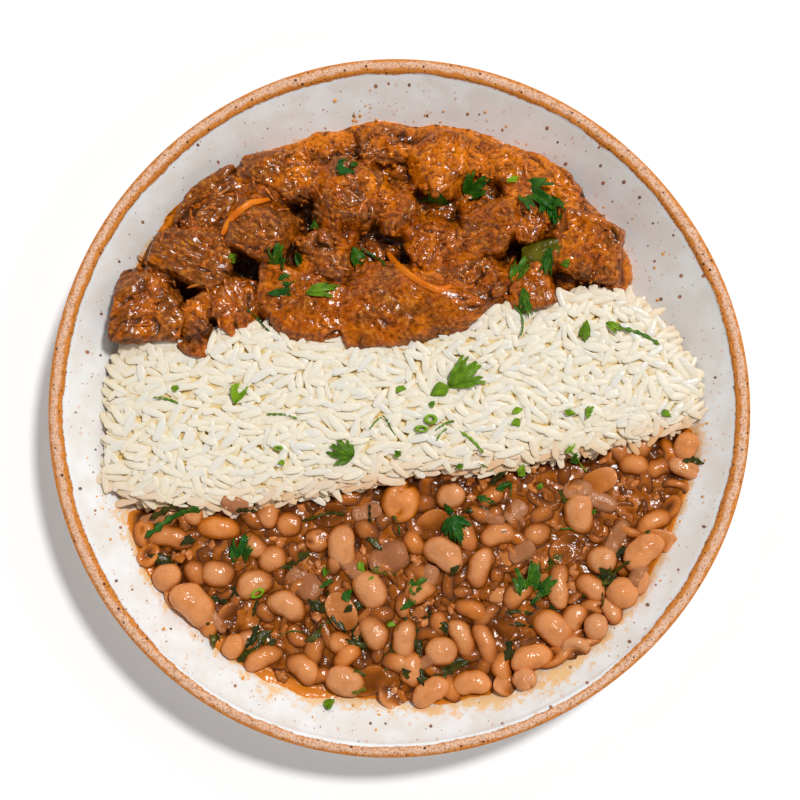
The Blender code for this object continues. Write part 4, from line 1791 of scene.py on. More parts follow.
@dataclass(frozen=True)
class Chunk:
    """A piece of meat: where it lies, how large it is and how its cut faces run."""

    middle: np.ndarray
    half: np.ndarray
    turn: float
    seed: int
    cuts: int = 7
    edge: float = 19.0
    across: int = 72
    under: int = 3
    wrap: float = 1.95

    @classmethod
    def of(cls, node: str, seed: int, **sizes: int) -> "Chunk":
        """Reads a piece's place, size and direction from its solid.

        Args:
            node: The CAD node.
            seed: Fixes how it was cut.
            sizes: Other fields to set.

        Returns:
            The chunk.
        """
        points = points_of(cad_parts[node].data)
        flat = points[:, :2] - points[:, :2].mean(axis=0)
        _, _, axes = np.linalg.svd(flat, full_matrices=False)
        turn = math.atan2(axes[0][1], axes[0][0])
        rest = spun(points, -turn)
        low, high = rest.min(axis=0), rest.max(axis=0)
        return cls(spun(((low + high) / 2)[None], turn)[0], (high - low) / 2, turn, seed, **sizes)

    def sheet(self) -> tuple[np.ndarray, list]:
        """Directions spread evenly over the top and sides, with few underneath.

        Returns:
            Unit vectors in rows, and faces between them.
        """
        x, y = disc(self.across)
        reach = np.hypot(x, y)
        tip = np.sin(reach * self.wrap) / np.where(reach == 0, 1, reach)
        dirs = np.stack([x * tip, y * tip, np.cos(reach * self.wrap)], axis=2).reshape(-1, 3)
        number = np.arange(x.size).reshape(x.shape)
        total = grid_faces(number)
        border = np.concatenate([number[:-1, 0], number[-1, :-1], number[:0:-1, -1], number[0, :0:-1]])
        rings, start = [dirs], len(dirs)
        previous = border
        for k in range(1, self.under + 1):
            angle_down = self.wrap + (math.pi - self.wrap) * k / (self.under + 1)
            level = dirs[border, :2] / np.linalg.norm(dirs[border, :2], axis=1)[:, None]
            down = np.full(len(border), math.cos(angle_down))
            rings.append(np.column_stack([level * math.sin(angle_down), down]))
            current = start + np.arange(len(border))
            wall = [np.roll(previous, -1), np.roll(current, -1), current, previous]
            total += np.stack(wall, 1).tolist()
            previous, start = current, start + len(border)
        rings.append(np.array([[0, 0, -1.0]]))
        total += [(int(b), int(a), start) for a, b in zip(previous, np.roll(previous, -1))]
        return np.concatenate(rings), total

    def surface(self) -> tuple[np.ndarray, list]:
        """The cut shape with worn edges, before its fibres are raised.

        Returns:
            Points in rows and faces.
        """
        draw = np.random.default_rng(self.seed)
        dirs, faces = self.sheet()
        total = np.zeros(len(dirs))
        for normal in (sign * axis for axis in np.eye(3) for sign in (1, -1)):
            leaning = normal + draw.normal(0, 0.16, 3)
            total += np.maximum(dirs @ leaning, 0) ** self.edge
        for _ in range(self.cuts):
            normal = draw.normal(size=3) * (1, 1, 0.8)
            normal /= np.linalg.norm(normal)
            total += np.maximum(dirs @ normal / draw.uniform(0.8, 1.12), 0) ** self.edge
        shape = dirs * (total ** (-1 / self.edge))[:, None] * self.half * np.array([1.04, 1.04, 1.0])
        return spun(shape, self.turn) + self.middle, faces


def spun(points: np.ndarray, turn: float) -> np.ndarray:
    """Turns points about Z.

    Args:
        points: Points in rows.
        turn: The angle in radians.

    Returns:
        The turned points.
    """
    c, s = math.cos(turn), math.sin(turn)
    x, y, z = points.T
    return np.column_stack([x * c - y * s, x * s + y * c, z])


@dataclass
class Stew:
    """Braised beef in gravy, with strips of carrot and a piece of green pepper."""

    servings: Servings
    surface: Field
    lump: float = 0.9 * MM
    tear: float = 1.5 * MM
    fibre: float = 0.7 * MM
    grit: float = 0.45 * MM
    seed: int = 71
    strands: int = 90
    crumbs: int = 520
    across: tuple[float, float] = (-88, 74)
    along: tuple[float, float] = (18, 92)
    # Middle lines of the strips of carrot, in millimetres
    strips: tuple = (
        ((-56.5, 54), (-53, 59.5), (-47.5, 64), (-41, 66.5)),
        ((-3.5, 50.5), (0.5, 43.5), (7, 38.5), (13.5, 35.5), (17.5, 38)),
    )
    # Places between the pieces where the gravy has sunk away: x, y and radius in millimetres
    gaps: tuple = (
        (-12.5, 39, 4.5), (-41, 42, 3.5), (-62, 43, 3), (-34, 62, 3), (9, 46, 2.5), (33, 48, 3),
        (-70, 35, 3), (-53, 36, 3), (-24, 52, 3.5), (-36, 49, 2.5), (22, 60, 2.5), (-15, 66, 2.5),
        (48, 41, 3), (28, 40, 2.5),
    )

    def oil(self, points: np.ndarray) -> np.ndarray:
        """How much bright orange fat floats at some points, mostly far off and to the right.

        Args:
            points: The points in rows.

        Returns:
            A share from 0 to 1 for each.
        """
        noise = Lumps(seed=17).rough(points * np.array([1, 1, 0.3]), 12 * MM, 4)
        lean = 0.5 * smooth((points[:, 1] - 50 * MM) / (34 * MM))
        lean = lean + 0.28 * smooth((points[:, 0] + 20 * MM) / (60 * MM))
        return smooth((noise * 1.1 + lean - 0.28) / 0.55)

    def beef(self, node: str, number: int, finish: bpy.types.Material) -> bpy.types.Object:
        """One piece of beef: cut faces, tears, fibres along one direction, and grit where gravy clings.

        Args:
            node: The CAD node it stands for.
            number: Its number, which fixes its cuts and fibres.
            finish: Its material.

        Returns:
            The piece.
        """
        draw = np.random.default_rng(self.seed + number)
        points, faces = Chunk.of(node, self.seed + number).surface()
        piece = make_piece(f"{node}_braised", points, faces, finish)
        normals = points_of(piece.data, "normal")
        lumps = Lumps(self.seed + number)
        turn, dip = draw.uniform(0, math.pi), draw.uniform(-0.4, 0.4)
        grain = np.array([math.cos(turn), math.sin(turn), dip])
        grain /= np.linalg.norm(grain)
        along = points @ grain
        strands = points - np.outer(along, grain) * 0.8
        bare = draw.choice((-0.3, 0.05, 0.4)) + 0.2 * smooth((-20 * MM - points[:, 0]) / (30 * MM))
        coat = smooth((lumps.rough(points, 7 * MM, 4) * 1.3 + 0.6 - bare) / 1.1)
        broad = lumps.rough(points, 7.5 * MM, 2)
        torn = np.exp(-((lumps.at(points - np.outer(along, grain) * 0.5, 6.5 * MM) / 0.09) ** 2))
        torn *= smooth(lumps.at(points + 20 * MM, 9 * MM) * 2.2 + 0.35)
        cord = lumps.ridged(strands, 1.9 * MM) * 0.6 + lumps.ridged(strands + 3 * MM, 1.0 * MM) * 0.4
        bits = lumps.pebbles(points, 2.1 * MM) * 0.6 + lumps.pebbles(points + 5 * MM, 1.2 * MM) * 0.4
        push = self.lump * broad - self.tear * torn + self.fibre * cord * (1.2 - coat * 0.9)
        push = push + self.grit * (bits - 0.4) * (0.5 + coat * 1.3)
        put_points(piece.data, points + normals * push[:, None])
        # Low in tears and grooves and between bits, for painted shade; high on crests, for painted highlight
        relief = 0.52 + 0.35 * cord * (1.1 - coat * 0.7) - 0.5 * torn
        relief = relief + 0.45 * (bits - 0.45) * (0.4 + 0.6 * coat)
        film = self.oil(points) * 0.85 * coat
        add_values(piece.data, coat=coat, relief=relief, film=film)
        add_vectors(piece.data, strand=strands)
        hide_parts(node)
        self.surface.cover(points_of(piece.data))
        return piece

    def _packed(self, tops: Field, x: np.ndarray, y: np.ndarray, thick: np.ndarray) -> np.ndarray:
        """Height at which the gravy clings between the pieces, lower on the left and nearer the rice.

        Args:
            tops: How high the pieces reach.
            x: Where along X.
            y: Where along Y.
            thick: Where it lies thicker and thinner, from -1 to 1.

        Returns:
            The heights.
        """
        bare = smooth((-5 * MM - x) / (35 * MM)) + smooth((58 * MM - y) / (20 * MM))
        packed = tops.blurred(2.0 * MM).sample(x, y) - (0.8 + 0.7 * bare - 1.4 * thick) * MM
        return np.maximum(self.servings.gravy_level - 1.5 * MM, packed)

    def gravy(self, tops: Field, finish: bpy.types.Material) -> bpy.types.Object:
        """The gravy between the pieces, which thins to an oily film at its far edge.

        Args:
            tops: How high the pieces reach.
            finish: Its material.

        Returns:
            The gravy.
        """
        x, y = Field(step=0.45 * MM).grid()
        lumps = Lumps(seed=83)
        flat = over(x, y)

        def sheet(values: np.ndarray) -> np.ndarray:
            """Values in rows, back on the grid."""
            return values.reshape(x.shape)

        ragged = sheet(lumps.rough(flat, 11 * MM, 4)) * 1.6 * MM
        inset = self.servings.stew.inset(x, y) + ragged + 0.8 * MM
        level = self._packed(tops, x, y, sheet(lumps.rough(flat, 13 * MM, 2)))
        broad = sheet(lumps.rough(flat, 5.0 * MM, 3))
        bits = sheet(lumps.pebbles(flat, 2.3 * MM) * 0.6 + lumps.pebbles(flat + 7 * MM, 1.3 * MM) * 0.4)
        cord = sheet(lumps.ridged(flat * np.array([0.5, 1.0, 1.0]), 2.2 * MM))
        deep = smooth((inset - 3 * MM) / (6 * MM))
        level = level + (1.1 * MM * broad + 0.6 * MM * (bits - 0.4) + 0.25 * MM * cord) * (0.3 + 0.7 * deep)
        level = level + 0.5 * MM * sheet(lumps.ridged(flat + 9 * MM, 5.5 * MM)) * deep
        for gap_x, gap_y, reach in self.gaps:
            away = np.hypot(x - gap_x * MM, y - gap_y * MM) / (reach * MM)
            level = level - 4 * MM * np.exp(-(away**2))
        top = self.servings.fill(x, y, level, inset, 7 * MM)
        piece, used = self.servings.pour("gravy_pool", (x, y), top, inset, finish)
        thin = 1 - smooth((top - self.servings.plate.inner(x, y) - 0.6 * MM) / (6.5 * MM))
        film = np.maximum(thin, sheet(self.oil(flat)) * 0.85)
        # Low between the bits, for painted shade; high on their crests, for painted highlight
        relief = 0.5 + 0.5 * (bits - 0.45) + 0.12 * cord
        values = {"coat": np.ones(x.shape), "relief": relief, "film": film}
        add_values(piece.data, **{key: np.tile(rows[used], 2) for key, rows in values.items()})
        add_vectors(piece.data, strand=points_of(piece.data) * np.array([0.5, 1, 1]))
        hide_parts("gravy")
        self.surface.cover(points_of(piece.data))
        return piece

    @staticmethod
    def rounded_line(marks: np.ndarray) -> np.ndarray:
        """Draws a line through a few marks and rounds its corners off.

        Args:
            marks: The marks in rows.

        Returns:
            40 points in rows.
        """
        t = np.linspace(0, len(marks) - 1, 40)
        line = np.column_stack([np.interp(t, np.arange(len(marks)), marks[:, k]) for k in (0, 1)])
        for _ in range(12):
            line[1:-1] = (line[:-2] + line[1:-1] + line[2:]) / 3
        return line

    def strip(self, node: str, path: tuple, finish: bpy.types.Material) -> bpy.types.Object:
        """A limp strip of carrot that follows the stew's surface.

        Args:
            node: The CAD node it stands for.
            path: Its middle line, in millimetres.
            finish: Its material.

        Returns:
            The strip.
        """
        line = self.rounded_line(np.array(path) * MM)
        ahead = np.gradient(line, axis=0)
        ahead /= np.linalg.norm(ahead, axis=1)[:, None]
        share = np.linspace(0, 1, 40)
        wide = 1.25 * MM * (0.35 + 0.65 * np.sin(math.pi * share**0.8) ** 0.6)
        wide = wide * (1 + 0.1 * np.sin(9 * share))
        twist = 0.5 * np.sin(4 * share)
        height = self.surface.closed().blurred(1.4 * MM).sample(line[:, 0], line[:, 1]) + 0.75 * MM
        for _ in range(6):
            height[1:-1] = (height[:-2] + height[1:-1] + height[2:]) / 3
        angles = np.arange(10) * math.tau / 10
        rings = []
        for k in range(1, 39):
            flat = np.column_stack([np.cos(angles) * wide[k], np.sin(angles) * 0.62 * MM])
            across = flat[:, 0] * math.cos(twist[k]) - flat[:, 1] * math.sin(twist[k])
            up = flat[:, 0] * math.sin(twist[k]) + flat[:, 1] * math.cos(twist[k])
            side = np.array([-ahead[k, 1], ahead[k, 0]])
            rings.append(np.column_stack([line[k] + across[:, None] * side, height[k] + up]))
        ends = [np.append(line[k], height[k])[None] for k in (0, -1)]
        points = np.concatenate([ends[0], *rings, ends[1]])
        piece = make_piece(f"{node}_cooked", points, turned_faces(38, 10), finish)
        fix_normals(piece.data)
        add_values(piece.data, tone=Lumps(seed=3).at(points, 5 * MM) * 0.5 + 0.5)
        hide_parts(node)
        self.surface.cover(points)
        return piece

    def pepper(self, node: str, finish: bpy.types.Material) -> bpy.types.Object:
        """The softened piece of green pepper.

        Args:
            node: The CAD node it stands for.
            finish: Its material.

        Returns:
            The piece.
        """
        chunk = Chunk.of(node, 9, cuts=4, across=20)
        points, faces = chunk.surface()
        push = Lumps(seed=8).rough(points, 3 * MM, 2) * 0.5 * MM
        points = points + push[:, None] * np.array([1, 1, 0.6])
        piece = make_piece(f"{node}_cooked", points, faces, finish)
        add_values(piece.data, tone=Lumps(seed=4).at(points, 5 * MM) * 0.5 + 0.5)
        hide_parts(node)
        self.surface.cover(points)
        return piece

    @staticmethod
    def strand(number: int, draw: np.random.Generator) -> bpy.types.Object:
        """Makes a curled strand of meat.

        Args:
            number: Which of the strands it is.
            draw: Where its unevenness comes from.

        Returns:
            The strand, of length, width and thickness 1.
        """
        stations = []
        for k in range(9):
            t = k / 8
            wide = 0.5 * max(math.sin(math.pi * t), 0.0) ** 0.45 * draw.uniform(0.65, 1.0) * (0 < k < 8)
            side = (0.35 * math.sin(3 * t + number) - 0.2, 0.3 * math.sin(5 * t + 2 * number))
            stations.append((t - 0.5, *side, wide, wide * 0.8))
        return sausage(f"strand_{number}", stations, around=6)

    def shreds(self, finish: bpy.types.Material) -> bpy.types.Object:
        """Loose strands and crumbs of meat that lie in the gravy.

        Args:
            finish: Their material.

        Returns:
            The piece.
        """
        draw = np.random.default_rng(self.seed)
        shapes = [self.strand(number, draw) for number in range(3)]
        shapes += [crumb(f"crumb_{number}", draw) for number in range(3)]
        top = self.surface.closed()
        places = Places()
        wanted = self.strands + self.crumbs
        while len(places.rows) < wanted:
            x, y = draw.uniform(*self.across) * MM, draw.uniform(*self.along) * MM
            strand = len(places.rows) < self.strands
            if self.servings.stew.inset(x, y) < 3 * MM:
                continue
            height = top.sample(x, y)
            if height < self.servings.gravy_level - 3 * MM:
                continue
            long = (draw.uniform(3.0, 8.0) if strand else draw.gamma(3, 0.4) + 0.7) * MM
            wide = (draw.uniform(0.9, 1.7) if strand else long / MM * draw.uniform(0.45, 0.8)) * MM
            turn = (draw.uniform(-0.4, 0.4), draw.normal(0, 0.25), draw.uniform(0, math.pi))
            kind = int(draw.integers(3)) + (0 if strand else 3)
            places.add((x, y, height - 0.15 * wide), turn, (long, wide, wide * 0.8), kind, draw.random())
        uneven = {"variation": 0.15, "dent_depth": 0.4 * MM, "dent_size": 1.2 * MM}
        piece = Scatter("beef_shreds", shapes, finish, seed=self.seed, **uneven).build(places)
        points = points_of(piece.data)
        fresh = draw.random(wanted)[rows_of(piece)]
        coat = 0.45 + 0.55 * fresh
        # A random relief for each shred, which sets its painted shade and highlight
        add_values(piece.data, coat=coat, relief=0.55 + 0.3 * fresh, film=self.oil(points) * coat * 0.8)
        add_vectors(piece.data, strand=points)
        self.surface.cover(points)
        return piece

    def build(self) -> list[bpy.types.Object]:
        """Makes the serving.

        Returns:
            The beef, the gravy, the shreds and the vegetables.
        """
        finish = Braise().material()
        nodes = sorted(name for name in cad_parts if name.startswith("beef_"))
        beef = [self.beef(node, number, finish) for number, node in enumerate(nodes)]
        tops = Field()
        for piece in beef:
            tops.cover(points_of(piece.data))
        gravy = self.gravy(tops.closed(), finish)
        brim = self.surface.closed().blurred(2.8 * MM)
        shreds = self.shreds(finish)
        for piece in (*beef, gravy, shreds):
            # Painted shade in the gaps between the pieces, less where oil floats
            sunk = sunk_below(brim, points_of(piece.data), 0.5 * MM, 3.4 * MM)
            film = np.zeros(len(sunk), np.float32)
            piece.data.attributes["film"].data.foreach_get("value", film)
            add_values(piece.data, depth=sunk * (1 - 0.85 * film) * 0.92)
        carrot = CARROT.material()
        numbered = enumerate(self.strips, 1)
        strips = [self.strip(f"carrot_strip_{number}", path, carrot) for number, path in numbered]
        pepper = self.pepper("green_pepper", PEPPER.material())
        LOG.info("stew: %d pieces of beef", len(beef))
        return [*beef, gravy, shreds, *strips, pepper]


# ---------------------------------------------------------------- greens and other bits


class Cut(Enum):
    """The ways greens are chopped, each with the numbers of its shapes."""

    LEAF = (0, 1, 2)
    LOBE = (3, 4, 5)
    SLIVER = (6,)
    STEM = (7,)
    RING = (8,)
    CRUMB = (9, 10)
    LIMP = (11, 12, 13)


# For each cut: x, y and length in millimetres, turn in degrees, tone from dark to bright
PARSLEY_PLACES = {
    Cut.LEAF: (
        (44, 68, 13, -35, 0.15), (-38, 46, 9, 80, 0.2), (-25, 36, 10, 8, 0.5), (25, 71, 10, 35, 0.15),
        (39, 43, 10, 60, 0.4), (21, 9, 13, 35, 0.7), (60, 24, 8, -100, 0.6), (-50, -47, 11, 70, 0.12),
        (-18, -15, 9, 150, 0.45), (19, -40, 12, -65, 0.15), (43, -57, 13, 80, 0.15), (6, -58, 8, 40, 0.2),
        (69, 25, 6, -30, 0.8), (37, 73, 5, 20, 0.9), (49, 64, 9, -80, 0.1),
    ),
    Cut.LOBE: (
        (13, 67, 10, 170, 0.1), (-38, 36, 8, 10, 0.1), (-13, 48, 9, -65, 0.2), (13, 5, 8, -160, 0.65),
        (-51, 4, 9, 75, 0.8), (41, 33, 10, -75, 0.3), (40, -21, 5, 50, 0.7), (38, -2, 4, 30, 0.9),
        (55, -3, 5, -20, 0.7), (86, -3, 4, -50, 0.6), (-23, -53, 5, 75, 0.4), (-23, -57, 5, 30, 0.35),
        (-16, -61, 5, 30, 0.3), (-12, -52, 5, -70, 0.5), (28, -30, 7, -20, 0.15), (55, -14, 5, 40, 0.9),
        (61, -3, 5, 60, 0.8), (34, -26, 6, 10, 0.15), (-8, -56, 4, 10, 0.6), (3, -64, 6, 30, 0.2),
        (-32, 47, 6, -70, 0.15), (-36, 40, 6, 20, 0.1), (48, 46, 9, -100, 0.25), (51, 60, 7, 70, 0.1),
        (5, -59, 5, 100, 0.3), (16, -33, 5, -60, 0.15), (45, -61, 8, 60, 0.1),
    ),
    Cut.SLIVER: (
        (-45, 27, 10, -45, 0.3), (-37, -4, 10, -8, 0.5), (23, -12, 12, -42, 0.7), (77, 22, 15, -22, 0.5),
        (58, -18, 9, -48, 0.8), (-3, -7, 8, -60, 0.5), (-7, -6, 6, 45, 0.5), (15, -7, 7, 25, 0.5),
        (14, -10, 6, 50, 0.6), (-8, 48, 11, -40, 0.3), (-22, 37, 8, 14, 0.5), (-74, 1, 10, -15, 0.6),
        (37, -26, 7, 80, 0.2), (55, -40, 6, -10, 0.4), (28, -20, 6, -25, 0.4), (-72, -38, 20, 26, 0.3),
    ),
    Cut.STEM: (
        (39, 27, 12, -78, 0.5), (-34, -73, 9, 10, 0.15), (-1, -37, 9, -60, 0.1),
    ),
    Cut.RING: (
        (10.5, -5, 4.2, 0, 0.9), (7.5, -8, 4.6, 0, 0.95), (-38, -14, 3.2, 0, 0.8), (-45, -60, 5, 30, 0.95),
    ),
    Cut.CRUMB: (
        (-53, 47, 3.5, 0, 0.7), (-14, 77, 4, 20, 0.1), (1, 5, 4, 15, 0.7), (11, 0, 3, 0, 0.5),
        (-37, -19, 3, 0, 0.8), (0, -16, 4, -20, 0.6), (38, -6, 3.5, -30, 0.6), (63, -34, 3, 0, 0.4),
        (-22, -95, 4, 60, 0.5), (-71, 5, 4, 0, 0.7), (57, -17, 4, 30, 0.3), (34, -41, 3, 0, 0.2),
        (46, -26, 3, 40, 0.5), (-2, -70, 3, 0, 0.8), (20, -20, 3, 0, 0.5), (-17, 76, 6, 0, 0.05),
        (-27, 58, 4, 40, 0.3), (54, 45, 4, 0, 0.4),
    ),
}

# The same for the wilted greens
WILTED_PLACES = {
    Cut.LIMP: (
        (-75, -51, 11, -30, 0.2), (-9, -85, 13, 10, 0.4), (-11, -77, 12, -30, 0.3), (-46, -71, 14, 60, 0.1),
        (5, -72, 17, -82, 0.2), (5, -84, 13, -50, 0.3), (-37, -52, 9, 0, 0.3), (26, -33, 10, 20, 0.2),
        (68, -58, 13, -60, 0.3), (51, -62, 12, 50, 0.2), (-20, -66, 14, -60, 0.2), (38, -66, 11, 0, 0.3),
        (-26, -62, 12, -40, 0.2), (-15, -70, 15, -60, 0.1), (-40, -75, 10, 40, 0.2), (6, -87, 11, -45, 0.1),
        (-60, -73, 10, -65, 0.5), (49, -51, 11, 20, 0.5), (64, -56, 15, 60, 0.4), (95, -18, 7, 0, 0.2),
        (-8, -41, 13, -60, 0.3), (-3, -52, 11, 20, 0.6), (-11, -90, 9, 0, 0.8), (31, -24, 10, 30, 0.1),
        (-59, -62, 10, -25, 0.1), (-46, -77, 14, 30, 0.3), (40, -70, 9, 0, 0.1), (80, -40, 9, 70, 0.4),
        (-24, -72, 12, 20, 0.3), (-2, -77, 13, 70, 0.2), (-32, -50, 10, 50, 0.4), (12, -69, 11, 120, 0.2),
        (-65, -43, 10, 20, 0.2), (55, -30, 11, -30, 0.3), (20, -50, 11, 60, 0.2), (-50, -60, 11, 10, 0.1),
        (-12, -63, 12, 40, 0.1), (17, -84, 12, 10, 0.2), (35, -76, 11, 70, 0.2), (70, -48, 12, 30, 0.1),
    ),
    Cut.SLIVER: (
        (-70, -34, 20, 14, 0.3), (-46, -35, 13, -10, 0.2), (-45, -65, 10, 70, 0.2), (70, -55, 14, 50, 0.4),
        (66, -60, 10, 85, 0.3), (-24, -36, 14, 8, 0.3), (44, -66, 9, -70, 0.1), (17, -36, 8, -70, 0.2),
        (-10, -37, 12, -100, 0.1), (-61, -71, 12, -50, 0.2),
    ),
}


@dataclass(frozen=True)
class Frond:
    """A fan-shaped bit of leaf of length 1 with toothed lobes, perhaps cut short by the knife."""

    spread: float
    lobes: int
    depth: float
    knife: float
    lean: float
    seed: int
    around: int = 30
    rows: int = 5

    def build(self) -> bpy.types.Object:
        """Makes the leaf, creased along its veins and a little curled.

        Returns:
            The leaf.
        """
        draw = np.random.default_rng(self.seed)
        share = np.linspace(-1, 1, self.around)
        swell = np.abs(np.cos(share * math.pi / 2 * self.lobes)) ** 0.7
        teeth = 1 + 0.11 * np.where(np.arange(self.around) % 3 == 0, -1, 0.6)
        teeth = teeth + draw.normal(0, 0.05, self.around)
        reach = (1 - self.depth * (1 - swell)) * teeth * (1 - 0.3 * share**2)
        angle = share * self.spread
        if self.knife:
            reach = np.minimum(reach, self.knife / np.maximum(np.cos(angle - self.lean), 0.15))
        t = np.linspace(0.05, 1, self.rows)[:, None]
        x = t * reach * np.cos(angle) - 0.45
        y = t * reach * np.sin(angle)
        crease = 0.1 * np.abs(np.sin(share * math.pi / 2 * self.lobes)) * t
        curl = 0.13 * np.sin(4 * x + draw.uniform(0, 6)) + 0.12 * np.cos(6 * y + draw.uniform(0, 6))
        points = np.stack([x, y, crease + curl], axis=2).reshape(-1, 3)
        number = np.arange(self.rows * self.around).reshape(self.rows, self.around)
        return thickened("frond", points, grid_faces(number), 0.03)


def thickened(name: str, points: np.ndarray, faces: list, thickness: float) -> bpy.types.Object:
    """Gives a thin sheet a thickness and closes it.

    Args:
        name: The shape's name.
        points: Points in rows.
        faces: Faces of the sheet.
        thickness: How thick it becomes.

    Returns:
        The closed shape.
    """
    flat = make_piece(name, points, faces, None)
    skin = flat.modifiers.new("skin", "SOLIDIFY")
    skin.thickness = thickness
    graph = bpy.context.evaluated_depsgraph_get()
    solid = bpy.data.meshes.new_from_object(flat.evaluated_get(graph), depsgraph=graph)
    bpy.data.objects.remove(flat)
    piece = bpy.data.objects.new(name, solid)
    bpy.context.scene.collection.objects.link(piece)
    fix_normals(solid)
    return piece


@dataclass
class Greens:
    """Chopped parsley and the darker wilted greens of the beans, draped over the food."""

    surface: Field
    # Spread in radians, lobes, depth between them, the knife's distance and lean, seed
    fronds: tuple = (
        Frond(1.15, 3, 0.62, 0.0, 0.0, 1),
        Frond(0.8, 3, 0.5, 0.9, 0.3, 2),
        Frond(1.35, 5, 0.55, 0.85, -0.4, 3),
        Frond(0.75, 1, 0.3, 0.72, 0.5, 4),
        Frond(0.55, 3, 0.4, 0.95, -0.2, 5),
        Frond(1.0, 1, 0.35, 0.6, -0.6, 6),
    )

    def shapes(self) -> list:
        """Makes the shapes that the greens are cut into.

        Returns:
            The shapes in the order of the cuts' numbers.
        """
        sliver, stem = [], []
        for k, t in enumerate(np.linspace(0, 1, 12)):
            wide = 0.055 + 0.03 * math.sin(9 * k) if 0 < k < 11 else 0.0
            sliver.append((t - 0.5, 0.12 * math.sin(3 * t), 0.04 * math.sin(7 * t), wide, 0.02))
            stem.append((t - 0.5, 0.22 * math.sin(3.2 * t) - 0.1, 0.03, 0.035, 0.035))
        crumbs = [Frond(1.3, 1, 0.3, 0.75, 0.4, 8), Frond(0.9, 3, 0.4, 0.7, -0.3, 9)]
        return [
            *(frond.build() for frond in self.fronds),
            sausage("sliver", sliver, around=6),
            sausage("stem", stem, around=6),
            self._ring(),
            *(bit.build() for bit in crumbs),
            *(self._limp(number) for number in range(3)),
        ]

    @staticmethod
    def _limp(number: int) -> bpy.types.Object:
        """Makes a crumpled scrap of wilted leaf.

        Args:
            number: Which of the scraps it is.

        Returns:
            The scrap.
        """
        draw = np.random.default_rng(50 + number)
        lumps = Lumps(60 + number)
        u, v = np.meshgrid(np.linspace(-0.5, 0.5, 12), np.linspace(-1, 1, 5), indexing="ij")
        ragged = draw.uniform(0.6, 1.1, (12, 5))
        wide = 0.24 * (1 - np.abs(2 * u) ** 2.5 * 0.85) * ragged
        x = u + 0.03 * draw.normal(size=u.shape)
        y = v * wide + 0.14 * np.sin(4 * u + number * 2)
        points = np.stack([x, y, 0.0 * u], axis=2).reshape(-1, 3)
        points[:, 2] = 0.07 * lumps.rough(points, 0.22, 2)
        return thickened("limp_leaf", points, grid_faces(np.arange(u.size).reshape(u.shape)), 0.03)

    @staticmethod
    def _ring() -> bpy.types.Object:
        """Makes a slice of hollow stem.

        Returns:
            The slice.
        """
        around, tube = 12, 6
        points, faces = [], []
        for i in range(around):
            a = math.tau * i / around
            for j in range(tube):
                b = math.tau * j / tube
                reach = 0.36 + 0.14 * math.cos(b)
                points.append((reach * math.cos(a), reach * math.sin(a), 0.22 * math.sin(b) + 0.1))
                k, m = (i + 1) % around, (j + 1) % tube
                faces.append((i * tube + j, k * tube + j, k * tube + m, i * tube + m))
        piece = make_piece("cut_ring", np.array(points), faces, None)
        fix_normals(piece.data)
        return piece

    def drape(self, name: str, spread: dict, finish: WetSkin, seed: int, lift: float) -> bpy.types.Object:
        """Lays cut greens flat and lets them sink onto the food.

        Args:
            name: The piece's name.
            spread: The places of each cut.
            finish: How the greens look.
            seed: Fixes the small differences.
            lift: How far above the food they lie.

        Returns:
            The piece.
        """
        draw = np.random.default_rng(seed)
        places = Places()
        for cut, spots in spread.items():
            for x, y, long, turn, tone in spots:
                size = (long * MM, long * draw.uniform(0.45, 0.85) * MM, long * MM)
                tilt = (draw.normal(0, 0.25), draw.normal(0, 0.2), math.radians(turn))
                shade = min(max(tone + draw.normal(0, 0.06), 0), 1)
                places.add((x * MM, y * MM, 0.0), tilt, size, int(draw.choice(cut.value)), shade)
        uneven = {"variation": 0.05, "dent_depth": 0.9 * MM, "dent_size": 3 * MM}
        piece = Scatter(name, self.shapes(), finish.material(), seed=seed, **uneven).build(places)
        draped(piece, self.surface, 0.9 * MM, 0.85, lift)
        return piece

    def build(self) -> list[bpy.types.Object]:
        """Makes all the greens.

        Returns:
            The parsley and the wilted greens.
        """
        wilted = self.drape("wilted_greens", WILTED_PLACES, WILTED, seed=31, lift=-0.2 * MM)
        parsley = self.drape("parsley", PARSLEY_PLACES, PARSLEY, seed=37, lift=0.25 * MM)
        return [parsley, wilted]


# x, y, length and width in millimetres, turn in degrees, tone
ONION_PLACES = (
    (-3, -49, 13, 10, 25, 0.2), (-30, -57, 12, 8, -40, 0.2), (-15, -52, 11, 5, -45, 0.6),
    (70, -43, 14, 5, 60, 0.5), (64, -30, 14, 6, -25, 0.6), (-78, -36, 10, 3.5, 8, 0.9),
    (40, -47, 9, 6, 30, 0.5), (10, -55, 8, 6, 70, 0.7), (30, -36, 9, 4, -20, 0.4),
    (-58, -69, 9, 3, -60, 0.8), (9, -82, 9, 4, 30, 0.5), (58, -27, 10, 6, 5, 0.7),
    (-52, -32, 9, 5, -15, 0.8), (-10, -34, 10, 6, 15, 0.6), (38, -34, 8, 6, 50, 0.7),
    (77, -54, 8, 5, 60, 0.5),
)


